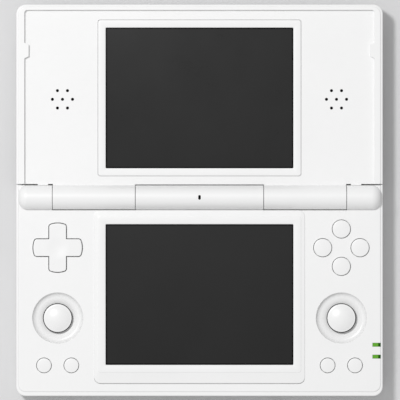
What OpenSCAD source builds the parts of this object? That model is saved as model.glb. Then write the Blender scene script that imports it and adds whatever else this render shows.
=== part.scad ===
// Clamshell handheld game console, drawn opened flat. The base holds the controls and the
// lower touch screen, the lid holds the upper screen, and a barrel hinge joins them.
// X runs across the console, +Y points to the lid's far edge and +Z up. The origin lies
// under the middle of the opened console, on the surface that its feet stand on.
// Inside on_hinge() every Y is counted from the hinge line, negative over the base.

/* [Body] */
// Width of the base and of the lid
body_w = 134; // [133:0.5:140]
// Length of the base from the hinge line to its front edge
base_len = 72.6; // [71.8:0.1:78]
// Length of the lid from the hinge line to its far edge
lid_len = 70.5; // [69:0.1:71.5]
// Thickness of the base without its feet
base_t = 12.1; // [12:0.1:14]
// Thickness of the lid from its back to its rim
lid_t = 8.6; // [8.5:0.1:9.6]
// Plan radius of the outer corners
corner_r = 3.5; // [3:0.1:5]
// Rounding round the underside and round the lid's back
edge_r = 2.4; // [1:0.1:2.8]
// Rounding of the lower edges along the hinge
back_r = 1.2; // [0.5:0.1:2]
// Rounding of the rims that meet when the lid is shut
rim_r = 0.4; // [0.3:0.05:0.7]
// How far these rims lie under the control face and under the raised part of the lid's rim
rim_drop = 0.3; // [0.1:0.05:0.5]
// Rounding of the upper edges of the control face and of the raised part of the lid's rim
face_edge_r = 0.35; // [0.1:0.05:0.5]
// Wall of the underside and of the lid
wall = 1.2; // [0.9:0.1:1.4]
// Wall of the control face
face_wall = 1.3; // [1:0.1:1.5]
// Width of the rim of the bottom shell that shows round the sides of the control face
side_rim = 0.75; // [0.6:0.05:1]
// Width of the rim of the bottom shell that shows in front of the control face
front_rim = 1.5; // [0.8:0.05:1.8]
// Width of the ledge under the edge of the control face
ledge_w = 0.8; // [0.6:0.05:1]
// Gap between the shut lid and the control face
closed_gap = 0.3; // [0.2:0.05:0.6]
// Clearance round a piece that lies in a pocket
fit = 0.1; // [0.05:0.01:0.15]

/* [Lid rim] */
// Height of the lid's rim over its inner face
rim_h = 1.3; // [1:0.1:1.6]
// Width of the lid's rim at the sides
lid_rim_side = 3.0; // [2.5:0.1:3.4]
// Width of the lid's rim at the far edge
lid_rim_far = 2.0; // [1.5:0.1:2.6]
// Radius of the inner corners of the lid's rim
lid_rim_r = 1.1; // [0.5:0.1:2]
// How far the tabs of the rim reach inwards
tab_reach = 1.57; // [0.5:0.05:2]
// Length of the tabs of the rim
tab_len = 5.8; // [3:0.1:8]
// Length of the slanted ends of the tabs
tab_slant = 0.8; // [0.4:0.1:1.2]
// Distance from the hinge line to the middle of the tabs
tab_row = 53.7; // [50:0.1:56]
// Height of the lip that locates the two lid shells
lid_lip_h = 1.0; // [0.6:0.1:1.2]
// Thickness of that lip
lid_lip_t = 0.8; // [0.6:0.05:1]
// Height of the lid shell that carries the inner face
inner_shell_h = 4.3; // [3.8:0.1:4.8]

/* [Screens] */
// Width of the strip at each side of both display windows
column_w = 32.7; // [32:0.1:33.6]
// Distance from the hinge line to the lower window
screen_rear = 9.81; // [9.7:0.01:10.4]
// Distance from the lower window to the front edge
screen_front = 11.39; // [10.5:0.01:11.7]
// Width of the border round both windows
border = 2.8; // [2.6:0.05:3]
// Corner radius of the borders
border_r = 0.9; // [0.5:0.1:1.4]
// Distance from the hinge line to the upper window
upper_near = 10.67; // [10.3:0.01:11]
// Distance from the upper window to the far edge of the lid
upper_far = 8.43; // [8.1:0.01:8.8]
// Height of the borders over the upper face, and of the lower frame over the control face
border_proud = 0.3; // [0.2:0.05:0.45]
// Extra height of the lower border over the lower frame
bezel_proud = 0.15; // [0.1:0.05:0.25]
// Width of the lower frame outside the border at the sides
frame_side = 1.4; // [1.2:0.05:1.5]
// Width of the lower frame outside the border towards the hinge
frame_rear = 2.35; // [1.6:0.05:2.4]
// Width of the lower frame outside the border towards the front
frame_front = 3.95; // [3:0.05:4.4]
// Corner radius of the lower frame
frame_r = 2.3; // [1.5:0.1:3]
// Width of the open seam in front of the lower frame
frame_seam = 0.25; // [0.1:0.05:0.4]
// Depth of that seam
seam_depth = 0.5; // [0.3:0.1:0.8]
// Depth of the window from the top of the border to the glass
window_depth = 0.5; // [0.4:0.05:0.6]
// Thickness of the touch panel
touch_t = 0.9; // [0.7:0.05:1]
// Thickness of the upper lens
lens_t = 0.6; // [0.5:0.05:0.7]
// How far the glass reaches behind the border
glass_lap = 1.5; // [1:0.05:1.6]
// Thickness of the displays
display_t = 2.1; // [1.8:0.05:2.2]
// How far the displays reach past the windows on every side
display_lap = 1.5; // [1:0.05:1.6]

/* [Hinge] */
// Radius of the hinge barrel
barrel_r = 4.4; // [4.2:0.05:4.5]
// Length of the middle knuckle, which belongs to the base
centre_len = 46.7; // [42:0.1:48]
// Length of the two end knuckles of the base
end_len = 12.3; // [11:0.1:13]
// Gap between neighbouring knuckles
knuckle_gap = 0.2; // [0.2:0.05:0.5]
// Gap round the barrel in the base
sweep_gap = 0.3; // [0.2:0.05:0.4]
// Gap between the barrel and the lid's near edge
lid_gap = 0.3; // [0.2:0.05:0.6]
// How much wider that gap is behind the end knuckles
end_relief = 0.2; // [0.1:0.05:0.3]
// Radius of the bore of the lid's knuckles
knuckle_bore = 3.0; // [2.8:0.05:3.1]
// Radial clearance of the turning hinge pieces
hinge_play = 0.05; // [0.03:0.01:0.08]
// Radius of the steel spindle on the right
spindle_r = 1.6; // [1.2:0.05:1.8]
// Length of the hinge hardware inside each lid knuckle
hinge_reach = 8; // [6:0.5:10]
// Length of the friction cartridge in the right lid knuckle
cartridge_len = 19; // [12:0.5:24]
// Wall of the left bush inside its knuckle
bush_wall = 0.6; // [0.4:0.05:0.8]
// Radius of the bore of the left bush, which the display cable runs through
bush_bore = 1.8; // [1.4:0.05:2]
// Rounding of the outer ends of the barrel
barrel_end_r = 3.1; // [1:0.1:3.4]
// Width of the stops that bridge the gap at the end knuckles
stop_w = 3.8; // [2:0.1:6]
// Distance of the stops from the inner ends of the end knuckles
stop_inset = 1.5; // [0.5:0.1:3]
// Clearance of the stops
stop_gap = 0.06; // [0.04:0.01:0.1]
// Width and length of the slot of the microphone
mic_slot = [0.92, 1.7];

/* [Controls] */
// Distance from each side of the body to the middle of its column of controls
column_inset = 15.16; // [14.9:0.02:15.3]
// Free length of the columns of controls: share between the barrel and the directional pad
pad_share = 0.1928; // [0.18:0.001:0.2]
// Share between the directional pad and the circle pad
stick_share = 0.2846; // [0.27:0.001:0.3]
// Share between the circle pad and the small buttons
small_share = 0.2009; // [0.19:0.001:0.22]
// Span of the directional pad
dpad_span = 17.8; // [17:0.1:18.8]
// Width of an arm of the directional pad
dpad_arm = 6.2; // [5.5:0.05:6.8]
// Height of the directional pad over the face
dpad_proud = 0.75; // [0.5:0.05:0.8]
// Gap round the directional pad, which it needs to rock
dpad_play = 0.3; // [0.26:0.01:0.4]
// Radius of the bowed ends of its arms
dpad_bow = 7.5; // [6:0.5:9]
// Corner radius of its arms
dpad_corner = 0.95; // [0.5:0.05:1.2]
// Depth of the dimple in the middle of its top
dpad_dimple = 0.3; // [0.1:0.05:0.4]
// Angle that it rocks to each side
dpad_tilt = 3; // [1.5:0.5:3]
// Thickness of the lip under the directional pad
dpad_lip_t = 0.6; // [0.5:0.05:0.7]
// Diameter of the four face buttons
button_d = 6.7; // [6.4:0.1:7.4]
// Distance of each face button from the middle of the four
button_offset = 6.83; // [6.7:0.01:7]
// Height of the face buttons over the face
button_proud = 0.9; // [0.7:0.05:1]
// Travel of the face buttons
button_travel = 0.8; // [0.5:0.05:0.85]
// Diameter of the small buttons
small_d = 5.45; // [5.2:0.05:6.2]
// Distance between the two small buttons of a column
small_pitch = 10; // [9.8:0.1:10.4]
// Height of the small buttons over the face
small_proud = 0.6; // [0.5:0.05:0.7]
// Travel of the small buttons
small_travel = 0.5; // [0.3:0.05:0.55]
// Gap round each button in its hole
play = 0.12; // [0.08:0.01:0.2]
// Width of the lip that keeps each button in
lip_w = 0.85; // [0.7:0.05:0.9]
// Thickness of the lips
lip_t = 0.7; // [0.6:0.05:0.8]

/* [Circle pads] */
// Diameter of the dish round each circle pad
dish_d = 18.6; // [18:0.1:18.8]
// Diameter of the cap
cap_d = 10.8; // [10:0.1:11]
// Height of the cap over the face
cap_proud = 1.0; // [0.8:0.05:1.1]
// Travel of the cap from its middle, along X and along Y
stick_travel = 1.6; // [1.2:0.05:1.65]
// Radius of the stem under the cap
stem_r = 2.4; // [2:0.05:2.45]
// Depth of the dish below the face
dish_depth = 1.6; // [1.4:0.05:1.65]
// Thickness of the dish at its bottom
dish_t = 0.6; // [0.5:0.05:0.7]
// Thickness of the skirt under the dish
skirt_t = 0.6; // [0.5:0.05:0.7]
// Running clearance between the sliding plates
slide_gap = 0.15; // [0.1:0.01:0.2]
// Width of the housing of the circle pad
housing_w = 20; // [20:0.1:20.2]
// Depth of the housing below the dish
housing_h = 4.4; // [4:0.1:4.8]
// Wall of the housing
housing_wall = 0.55; // [0.45:0.05:0.6]
// Thickness of the sliding carriage
carriage_t = 0.8; // [0.6:0.05:0.9]

/* [Speakers and lights] */
// Distance of the middle of the speaker holes from the side of the lid
speaker_inset = 16.9; // [16:0.1:18]
// Distance of the speakers from the hinge line
speaker_row = 35.86; // [34:0.02:38]
// Diameter of a speaker hole
speaker_hole = 1.1; // [0.8:0.1:1.6]
// Distance between neighbouring speaker holes
speaker_pitch = 3.67; // [3:0.01:4]
// Diameter of a speaker
speaker_d = 13; // [11:0.5:13.5]
// Thickness of a speaker
speaker_t = 2.8; // [2:0.1:3]
// Thickness of the gauze behind the speaker holes
gauze_t = 0.3; // [0.2:0.05:0.4]
// Distance of the lid's magnet from the side of the lid
magnet_inset = 21; // [19:0.5:24]
// Distance of the lid's magnet from the far edge
magnet_far = 10.5; // [9:0.5:12]
// Length of a light along the side
light_len = 1.3; // [1:0.1:1.8]
// Distances of the two lights from the front edge
light_fronts = [18.74, 14.4];
// How far the lights reach in from the side
light_reach = 3.73; // [3:0.01:4.2]
// Depth of the lights under the face
light_drop = 3; // [2:0.1:3.6]

/* [Inside the base] */
// Clear height between the floor and the main board
bay_h = 5.9; // [5.7:0.05:6]
// Thickness of the main board
board_t = 0.8; // [0.6:0.05:1]
// Gap between the main board and the wall
board_gap = 0.5; // [0.3:0.05:1]
// Width of the battery
battery_w = 38; // [34:0.5:40]
// Length of the battery
battery_l = 28; // [24:0.5:30]
// Thickness of the battery
battery_t = 4.8; // [4:0.1:4.9]
// Play of the battery in its bay at each side
battery_play = 1; // [0.5:0.1:1.2]
// Distance from the hinge line to the battery bay
bay_rear = 6; // [5.5:0.1:7]
// Thickness of the battery cover
cover_t = 1.0; // [0.8:0.05:1.1]
// Thickness of the walls inside the shells
rib = 1.0; // [0.8:0.05:1.1]
// Height of the flange round the battery cover
flange_h = 0.8; // [0.6:0.1:1]
// Corner radius of the battery cover
cover_r = 1.5; // [1:0.1:2]
// Size of each of the two processors on the board
chip_w = 12; // [8:0.5:13]
// Width of the card slot
card_w = 34; // [30:0.5:35]
// Height of the card slot
card_h = 4.6; // [4.4:0.05:4.7]
// Length of the card connector behind the slot
connector_t = 2.2; // [1.8:0.1:3]
// Radius of a screw shank
screw_r = 0.95; // [0.8:0.05:1]
// Radius of a screw head
head_r = 1.8; // [1.6:0.05:1.9]
// Height of a screw head
head_h = 1.2; // [1:0.05:1.4]
// Radius of a screw post
post_r = 2.2; // [2:0.05:2.3]
// Height of the rubber feet below the underside
foot_h = 0.5; // [0.4:0.05:1]
// Depth of the screw heads below the underside
head_sink = 0.4; // [0.3:0.05:0.5]
// Clearance of the screw holes
hole_play = 0.15; // [0.1:0.01:0.2]
// Distances of the screw posts from the hinge line: rear, front and side
post_rows = [12, 60, 26];
// Distance of the feet from the sides of the body
foot_inset = 10; // [8:0.5:12]
// Distance of the front feet from the front edge
foot_front = 9; // [7:0.5:11]
// Distance of the rear feet from the hinge line
foot_rear = 2.6; // [1.5:0.1:3.5]
// Depth of the recess that holds each foot
foot_sink = 0.3; // [0.2:0.05:0.5]
// Radius of a rubber foot
foot_r = 3.5; // [3:0.1:4]

/* [Edge controls] */
// Length of the shoulder buttons across the console
shoulder_len = 12.6; // [11:0.1:12.8]
// Height of the shoulder buttons
shoulder_h = 4.4; // [3.6:0.1:4.6]
// How far the shoulder buttons reach down the side
shoulder_side = 11; // [9:0.1:11.4]
// Plan radius of the corner of the shoulder buttons
shoulder_r = 1.6; // [1:0.1:3]
// Angle that a shoulder button turns when pressed
shoulder_turn = 4.5; // [3:0.1:5]
// Radius of the pivot pins of the shoulder buttons
pivot_r = 0.75; // [0.6:0.05:0.9]
// Length of the recess of the power slider
power_len = 12.4; // [11:0.1:13]
// Travel of the power slider
power_travel = 3; // [2:0.1:3.4]
// Distance from the hinge line to the middle of the power slider's recess
power_row = 35.7; // [35:0.1:36.4]
// Length of the recess of the volume slider
volume_len = 10.4; // [9:0.1:11]
// Travel of the volume slider to each side
volume_travel = 2.5; // [1.5:0.1:2.6]
// Distance of the volume slider and of the headphone jack from the sides
front_inset = 39; // [37:0.1:40.5]
// Depth of the recesses of the sliders
recess_depth = 0.6; // [0.5:0.05:0.7]
// Height of the knobs of the sliders
knob_h = 2.6; // [2:0.1:3]
// Length of the knob of the power slider
power_knob = 5.6; // [4.5:0.1:6]
// Length of the knob of the volume slider
volume_knob = 4.4; // [3.6:0.1:4.6]
// Thickness of the plates that hold the sliders from inside
plate_t = 0.6; // [0.5:0.05:0.7]
// Bore radius of the headphone jack
jack_r = 1.78; // [1.76:0.01:1.8]
// Depth of the headphone jack
jack_depth = 12; // [10:0.1:12.5]
// Width and height of the mouth of the charging port
port_mouth = [6, 1.7];
// Distance from the hinge line to the charging port
port_row = 18.5; // [18:0.1:19]
// Radius of the stylus
stylus_r = 1.4; // [1.2:0.05:1.5]
// Length of the stylus
stylus_len = 60; // [50:0.5:60.5]
// Distance of the stylus from the side of the body
stylus_inset = 9.5; // [9:0.1:9.6]

/* [Hidden] */
$fn = 64;

over = 1;                                        // length by which cuts run past a face
press = 0.02;                                    // clearance of pieces that are pushed together
half_w = body_w / 2;
hinge_y = (base_len - lid_len) / 2;              // puts the origin under the middle
side_wall = side_rim + ledge_w;
front_wall = front_rim + ledge_w;

// Heights of the base, from the feet up
z_under = foot_h;
z_floor = z_under + wall;
z_board = z_floor + bay_h;
z_board_top = z_board + board_t;
z_face = z_under + base_t;
z_base_rim = z_face - rim_drop;
z_skin = z_face - face_wall;
hinge_z = z_face + closed_gap / 2;
sill_z = hinge_z - barrel_r - sweep_gap;

screw_tip = z_skin - 0.5;

// Heights of the lid, opened flat
z_rim = hinge_z - closed_gap / 2;
z_lid_back = z_rim - lid_t;
z_lid_seam = z_rim - inner_shell_h;
z_lid_face = z_rim - rim_h;
z_lid_skin = z_lid_face - wall;
lid_near = barrel_r + lid_gap;

// Knuckles along X
end_outer = half_w - side_rim - fit;
end_inner = end_outer - end_len;
centre_half = centre_len / 2;
knuckle_end = end_outer - 3;                     // where the bores of the end knuckles stop
lid_knuckle = [centre_half + knuckle_gap, end_inner - knuckle_gap];

// Screens
screen_w = body_w - 2 * column_w;
border_w = screen_w + 2 * border;
lower_l = base_len - screen_rear - screen_front;
lower_row = screen_rear + lower_l / 2;
upper_l = lid_len - upper_near - upper_far;
upper_row = upper_near + upper_l / 2;
border_l = lower_l + 2 * border;
upper_border_l = upper_l + 2 * border;
frame_w = border_w + 2 * frame_side;
frame_y = [-lower_row - border_l / 2 - frame_front, -lower_row + border_l / 2 + frame_rear];
border_y = [-lower_row - border_l / 2, -lower_row + border_l / 2];
window_r = 0.3;                                  // corner radii of the windows, glasses and seats
glass_r = 0.4;
seat_r = 1;
lens_seat = 0.6;                                 // how far the lid opens past the upper window
glass_w = screen_w + 2 * glass_lap;
glass_l = lower_l + 2 * glass_lap;
upper_glass_l = upper_l + 2 * glass_lap;
display_w = screen_w + 2 * display_lap;
display_l = lower_l + 2 * display_lap;
upper_display_l = upper_l + 2 * display_lap;
z_frame = z_face + border_proud;
z_border = z_frame + bezel_proud;
z_touch_top = z_border - window_depth - bezel_proud;
z_touch = z_touch_top - touch_t;
z_lower_display = z_touch - display_t;
z_upper_border = z_lid_face + border_proud;
z_lens_top = z_upper_border - window_depth;
z_lens = z_lens_top - lens_t;

// Small pieces in the lid
flex_w = 10;
flex_mid = (lid_knuckle[0] + end_inner - hinge_reach) / 2;
flex_x = [flex_mid - flex_w / 2, flex_mid + flex_w / 2];
flex_t = 0.15;
magnet_r = 2;
magnet_t = 1.2;

// Columns of controls
column_x = half_w - column_inset;
front_x = half_w - front_inset;
column_free = base_len - barrel_r - dpad_span - dish_d - small_d;
pad_row = barrel_r + column_free * pad_share + dpad_span / 2;
stick_row = pad_row + dpad_span / 2 + column_free * stick_share + dish_d / 2;
small_row = stick_row + dish_d / 2 + column_free * small_share + small_d / 2;
hole_gap = 0.1;                                  // gap between a lip and the skin over it
z_lip = z_skin - hole_gap - lip_t;
dpad_rise = (dpad_span / 2 + dpad_arm / 2 + 2 * lip_w) * sin(dpad_tilt);
pivot_z = z_skin - hole_gap - dpad_rise - dpad_lip_t;
ball_r = pivot_z - z_board_top;

// Circle pads, from the dish down
z_dish = z_face - dish_depth;
z_dish_low = z_dish - dish_t;
z_skirt = z_dish_low - slide_gap - skirt_t;
z_carriage = z_skirt - slide_gap - carriage_t;
z_housing = z_dish_low - housing_h;
reach_diagonal = stick_travel * sqrt(2);
aperture_r = stem_r + reach_diagonal + slide_gap;
skirt_r = aperture_r + reach_diagonal;
dish_lip = 0.9;

// Posts that the screws go through
post_x = screen_w / 2 + display_lap + post_r + 1.3;
post_places = [
    [post_x, -post_rows[0]], [post_x, -post_rows[1]],
    [half_w - side_wall - post_r + fit, -post_rows[2]]];

// Battery bay and its cover, with the card connector in front of it
bay_y = [-bay_rear - battery_l - 2 * battery_play, -bay_rear];
bay_half = battery_w / 2 + battery_play;
bay_ceiling = z_board - fit - 0.8;
cover_lap = 0.5;
cover_half = bay_half + rib + cover_lap;
cover_y = [bay_y[0] - cover_lap, bay_y[1] + rib + 4.2];
cover_screw_y = cover_y[1] - 2.4;
cover_head_h = 0.4;
cover_screw_top = z_under + 4.4;
cover_head_r = 1.4;
chip_t = 1.2;
small_chip = 8;
radio_w = 12;
radio_l = 17;
z_flange = z_under + cover_t + flange_h;
connector_y = cover_y[0] - rib - fit - connector_t;
card_z = [z_board - fit - card_h, z_board - fit];
card_y = [-base_len, connector_y];

// Shoulder buttons
shoulder_gap = 0.15;                             // gap over and under a shoulder button
swing_gap = 0.3;                                 // gap at the ends of its swing
shoulder_z = [sill_z - shoulder_gap - shoulder_h, sill_z - shoulder_gap];
shoulder_x = half_w - fit - shoulder_len;
shoulder_swing = shoulder_len * sin(shoulder_turn) + swing_gap;
shoulder_front = barrel_r - fit - shoulder_side;
shoulder_depth = 4.6;
pivot_x = shoulder_x + 1.7;
pivot_y = barrel_r - 3.4;
pivot_seat_r = 1.6;
z_pivot_top = sill_z + 1.4;

// Sliders and sockets in the edges
slider_z = (z_floor + z_board) / 2 + 0.9;
stem_w = 2;
stem_h = 1.1;
knob_gap = 0.3;                                  // gap round a knob in its recess
catch_w = 4.2;                                   // size of the plate behind a knob
catch_h = 2.6;
jack_z = z_board - 2.5;
port_z = z_board - 1.2;
port_gap = 0.4;                                  // gap between the port and its hole in the wall
port_wall = 0.3;
port_len = 6.4;
jack_nut_r = 2.9;
jack_w = 7;
stylus_x = stylus_inset - half_w;
foot_places = [[half_w - foot_inset, foot_front - base_len], [half_w - foot_inset, -foot_rear]];
speaker_x = half_w - speaker_inset;
stylus_z = z_floor + 2 * fit + stylus_r;

white = [0.93, 0.93, 0.93];
pale = [0.86, 0.86, 0.87];
grey = [0.55, 0.55, 0.57];
dark = [0.14, 0.14, 0.15];
steel = [0.66, 0.67, 0.69];
green = [0.42, 0.65, 0.26];
board_green = [0.10, 0.36, 0.22];
copper = [0.72, 0.42, 0.16];

// Places its children in the frame of the hinge line
module on_hinge() translate([0, hinge_y, 0]) children();

// A box between two values on each axis
module block(x, y, z) translate([x[0], y[0], z[0]]) cube([x[1] - x[0], y[1] - y[0], z[1] - z[0]]);

// A round bar along the hinge line
module hinge_bar(x, r) translate([x[0], 0, hinge_z]) rotate([0, 90, 0]) cylinder(r = r, h = x[1] - x[0]);

// An upright round bar
module post(at, z, r) translate([at[0], at[1], z[0]]) cylinder(r = r, h = z[1] - z[0]);

// Copies its children to the left
module both_sides() for (m = [0, 1]) mirror([m, 0, 0]) children();

// A rectangle with round corners
module round_rect(w, l, r) {
    square([w - 2 * r, l], center = true);
    square([w, l - 2 * r], center = true);
    for (x = [-1, 1], y = [-1, 1]) translate([x * (w / 2 - r), y * (l / 2 - r)]) circle(r);
}

// A flat plate with round corners
module plate(w, y, z, r) {
    translate([0, (y[0] + y[1]) / 2, z[0]]) linear_extrude(z[1] - z[0]) round_rect(w, y[1] - y[0], r);
}

// A bar with round ends, along Y
module pill(w, l) {
    square([w, l - w], center = true);
    for (s = [-1, 1]) translate([0, s * (l - w) / 2]) circle(w / 2);
}

// Half of the section of a slab, with a rounded lower and upper corner
module edge_section(w, h, r_low, r_top) {
    intersection() {
        union() {
            if (h > r_low + r_top) translate([0, r_low]) square([w, h - r_low - r_top]);
            if (r_low > 0) {
                square([w - r_low, r_low]);
                translate([w - r_low, r_low]) circle(r_low);
            }
            if (r_top > 0) {
                translate([0, h - r_top]) square([w - r_top, r_top]);
                translate([w - r_top, h - r_top]) circle(r_top);
            }
        }
        square([w, h]);
    }
}

// A slab with round corners in plan and rounded lower and upper edges
module slab(w, y, z, r, r_low, r_top) {
    l = y[1] - y[0];
    h = z[1] - z[0];
    translate([0, (y[0] + y[1]) / 2, z[0]]) {
        for (m = [0, 1]) {
            mirror([m, 0, 0]) rotate([90, 0, 0])
                linear_extrude(l - 2 * r, center = true) edge_section(w / 2, h, r_low, r_top);
            mirror([0, m, 0]) rotate([90, 0, 90])
                linear_extrude(w - 2 * r, center = true) edge_section(l / 2, h, r_low, r_top);
        }
        for (mx = [0, 1], my = [0, 1]) mirror([mx, 0, 0]) mirror([0, my, 0])
            translate([w / 2 - r, l / 2 - r, 0])
                rotate_extrude(angle = 90) edge_section(r, h, r_low, r_top);
    }
}

// Takes the corner off an edge that runs along X, which leaves it rounded
module rounded_edge(y, z, r, side) {
    difference() {
        translate([-half_w - over, side > 0 ? y - r : y - over, z - over])
            cube([body_w + 2 * over, r + over, r + over]);
        translate([-half_w - 2 * over, y - side * r, z + r]) rotate([0, 90, 0])
            cylinder(r = r, h = body_w + 4 * over);
    }
}

// The whole outline of the base: its rear is straight, and its rims reach back to the lid
module base_outline() {
    difference() {
        slab(body_w, [-base_len, barrel_r + 2 * corner_r], [z_under, z_base_rim], corner_r, edge_r, rim_r);
        block([-half_w - over, half_w + over], [lid_near - fit, barrel_r + 3 * corner_r], [0, z_face + over]);
        block([-half_w + side_rim, half_w - side_rim], [barrel_r, barrel_r + 3 * corner_r],
              [0, z_face + over]);
        rounded_edge(barrel_r, z_under, back_r, 1);
    }
}

// The space that the control face lies in, grown by a clearance
module face_bed(z, gap) {
    r = corner_r - side_rim;
    plate(body_w - 2 * side_rim + 2 * gap, [-base_len + front_rim - gap, barrel_r + corner_r + gap], z, r);
}

// The uppermost part of the control face. Its rounded edge covers the clearance round the bed.
module face_top() {
    slab(body_w - 2 * side_rim, [-base_len + front_rim, barrel_r + corner_r], [z_base_rim, z_face],
         corner_r - side_rim, 0, face_edge_r);
}

// The room that the lid's knuckles sweep through, taken out of the base
module knuckle_room() {
    both_sides() {
        room = [lid_knuckle[0] - knuckle_gap, lid_knuckle[1] + knuckle_gap];
        hinge_bar(room, barrel_r + sweep_gap);
        block(room, [0, barrel_r + over], [sill_z, hinge_z + barrel_r]);
    }
}

// Room behind the barrel, level with the rear wall
module behind_barrel() {
    block([-half_w, half_w], [barrel_r, barrel_r + 3 * corner_r], [0, z_face + over]);
}

// The room of one shoulder button, with the space that it swings into
module shoulder_room() {
    block([shoulder_x - swing_gap, half_w + over], [shoulder_front - shoulder_swing, barrel_r + over],
          [shoulder_z[0] - shoulder_gap, sill_z]);
}

// One screw with its head down
module screw(at, z_head, z_tip, r_head) {
    post(at, [z_head, z_head + head_h], r_head);
    post(at, [z_head + head_h, z_tip], screw_r);
}

module cover_bed(gap) {
    plate(2 * (cover_half + gap), [cover_y[0] - gap, cover_y[1] + gap],
          [z_under - over, z_under + cover_t], cover_r + gap);
}

// The recess of a slider's knob and the slot of its stem, through a wall whose outer face lies at y = 0
module slider_cut(length, knob, travel, inner) {
    block([-length / 2, length / 2], [-over, recess_depth],
          [slider_z - knob_h / 2 - knob_gap, slider_z + knob_h / 2 + knob_gap]);
    block([-travel - stem_w / 2 - knob_gap, travel + stem_w / 2 + knob_gap], [-over, inner + over],
          [slider_z - stem_h / 2 - fit, slider_z + stem_h / 2 + fit]);
}

// What stands on the floor of the bottom shell: bay walls, card slot, posts and cradles
module floor_ribs() {
    difference() {
        block([-bay_half - rib, bay_half + rib], [bay_y[0] - rib, bay_y[1] + rib],
              [z_floor - over / 2, z_board - fit]);
        block([-bay_half, bay_half], bay_y, [z_under, bay_ceiling]);
    }
    block([-cover_half - rib, cover_half + rib], [cover_y[0] - rib, cover_y[1] + rib],
          [z_under + cover_t, z_flange]);
    post([0, cover_screw_y], [z_floor - over / 2, sill_z - wall], post_r);
    block([-card_w / 2 - rib, card_w / 2 + rib], [card_y[0] + rib, card_y[1]],
          [z_under + over / 2, card_z[0]]);
    both_sides() {
        block([card_w / 2, card_w / 2 + rib], [card_y[0] + rib, card_y[1]], [z_floor - over / 2, card_z[1]]);
        for (p = post_places) post(p, [z_floor - over / 2, z_board], post_r);
        post([pivot_x, pivot_y], [z_floor - over / 2, shoulder_z[0] - shoulder_gap], pivot_seat_r);
    }
    for (y = [-base_len + stylus_len / 4, -base_len + stylus_len - 2 * rib])
        block([stylus_x - stylus_r - rib, stylus_x + stylus_r + rib], [y - rib, y + rib],
              [z_floor - over / 2, stylus_z + stylus_r + fit + rib / 2]);
}

module bottom_shell() color(white) on_hinge() {
    inner_w = body_w - 2 * side_wall;
    inner_r = max(corner_r - side_wall, rim_r);
    difference() {
        union() {
            difference() {
                base_outline();
                slab(inner_w, [-base_len + front_wall, barrel_r - wall], [z_floor, z_face + over],
                     inner_r, inner_r - fit, 0);
                face_bed([z_skin, z_face + over], 0);
                block([-inner_w / 2, inner_w / 2], [0, barrel_r + over], [sill_z - wall, z_face + over]);
            }
            floor_ribs();
        }
        // battery bay, cover and its screw
        block([-bay_half, bay_half], bay_y, [z_under - over, bay_ceiling]);
        cover_bed(fit);
        post([0, cover_screw_y], [z_under, cover_screw_top + hole_play], screw_r + hole_play / 3);
        // card slot
        block([-card_w / 2, card_w / 2], [card_y[0] - over, card_y[1] + over], card_z);
        both_sides() {
            shoulder_room();
            post([pivot_x, pivot_y], [z_floor, shoulder_z[0]], pivot_r + press);
            for (p = post_places) {
                post(p, [z_under - over, z_under + head_sink + head_h], head_r + fit);
                post(p, [z_under, z_board + over], screw_r + hole_play);
            }
            for (p = foot_places) post(p, [z_under - over, z_under + foot_sink], foot_r + press);
        }
        // edge controls and sockets
        translate([half_w, -power_row, 0]) rotate([0, 0, 90])
            slider_cut(power_len, power_knob, power_travel / 2, side_wall);
        translate([-front_x, -base_len, 0]) slider_cut(volume_len, volume_knob, volume_travel, front_wall);
        translate([front_x, -base_len - over, jack_z]) rotate([-90, 0, 0])
            cylinder(r = jack_nut_r + fit, h = front_wall + 2 * over);
        block([-half_w - over, -half_w + side_wall + over],
              [-port_row - port_mouth[0] / 2 - port_gap, -port_row + port_mouth[0] / 2 + port_gap],
              [port_z - port_mouth[1] / 2 - port_gap, port_z + port_mouth[1] / 2 + port_gap]);
        translate([stylus_x, -base_len - over, stylus_z]) rotate([-90, 0, 0])
            cylinder(r = stylus_r + fit, h = stylus_len + 2 * over);
        light_bars(fit / 2, over, half_w - side_rim - fit / 2);
    }
}

// The two light bars, which lie in the face, grown by a gap. They end at a place on the X axis.
module light_bars(gap, rise, end) {
    for (row = [for (f = light_fronts) base_len - f])
        block([half_w - light_reach - gap, end],
              [-row - light_len / 2 - gap, -row + light_len / 2 + gap],
              [z_face - light_drop - gap, z_face + rise]);
}

// The outline of the directional pad, grown all round: four arms with bowed ends. The arc of each
// corner touches both the side of its arm and the bow at its end.
module cross_2d(grow) {
    half = dpad_arm / 2 + grow;
    bow = dpad_bow + grow;
    corner = dpad_corner + grow;
    bow_x = dpad_span / 2 + grow - bow;
    touch = asin((half - corner) / (bow - corner));
    corner_x = bow_x + (bow - corner) * cos(touch);
    bow_step = touch / 4;
    corner_step = (90 - touch) / 6;
    arm = [
        for (a = [0:5])
            [corner_x + corner * sin(a * corner_step), corner - half - corner * cos(a * corner_step)],
        for (a = [-4:4]) [bow_x + bow * cos(a * bow_step), bow * sin(a * bow_step)],
        for (a = [5:-1:0])
            [corner_x + corner * sin(a * corner_step), half - corner + corner * cos(a * corner_step)],
        [half, half]];
    polygon([for (t = [0:90:270], p = arm) [p[0] * cos(t) - p[1] * sin(t), p[0] * sin(t) + p[1] * cos(t)]]);
}

// Middles of the four face buttons, in the order north, east, south, west
button_places = [
    for (a = [90, 0, -90, 180]) [column_x + button_offset * cos(a), -pad_row + button_offset * sin(a)]];
// Middles of the small buttons of the right column, inner then outer
small_places = [for (s = [-1, 1]) [column_x + s * small_pitch / 2, -small_row]];

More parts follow.
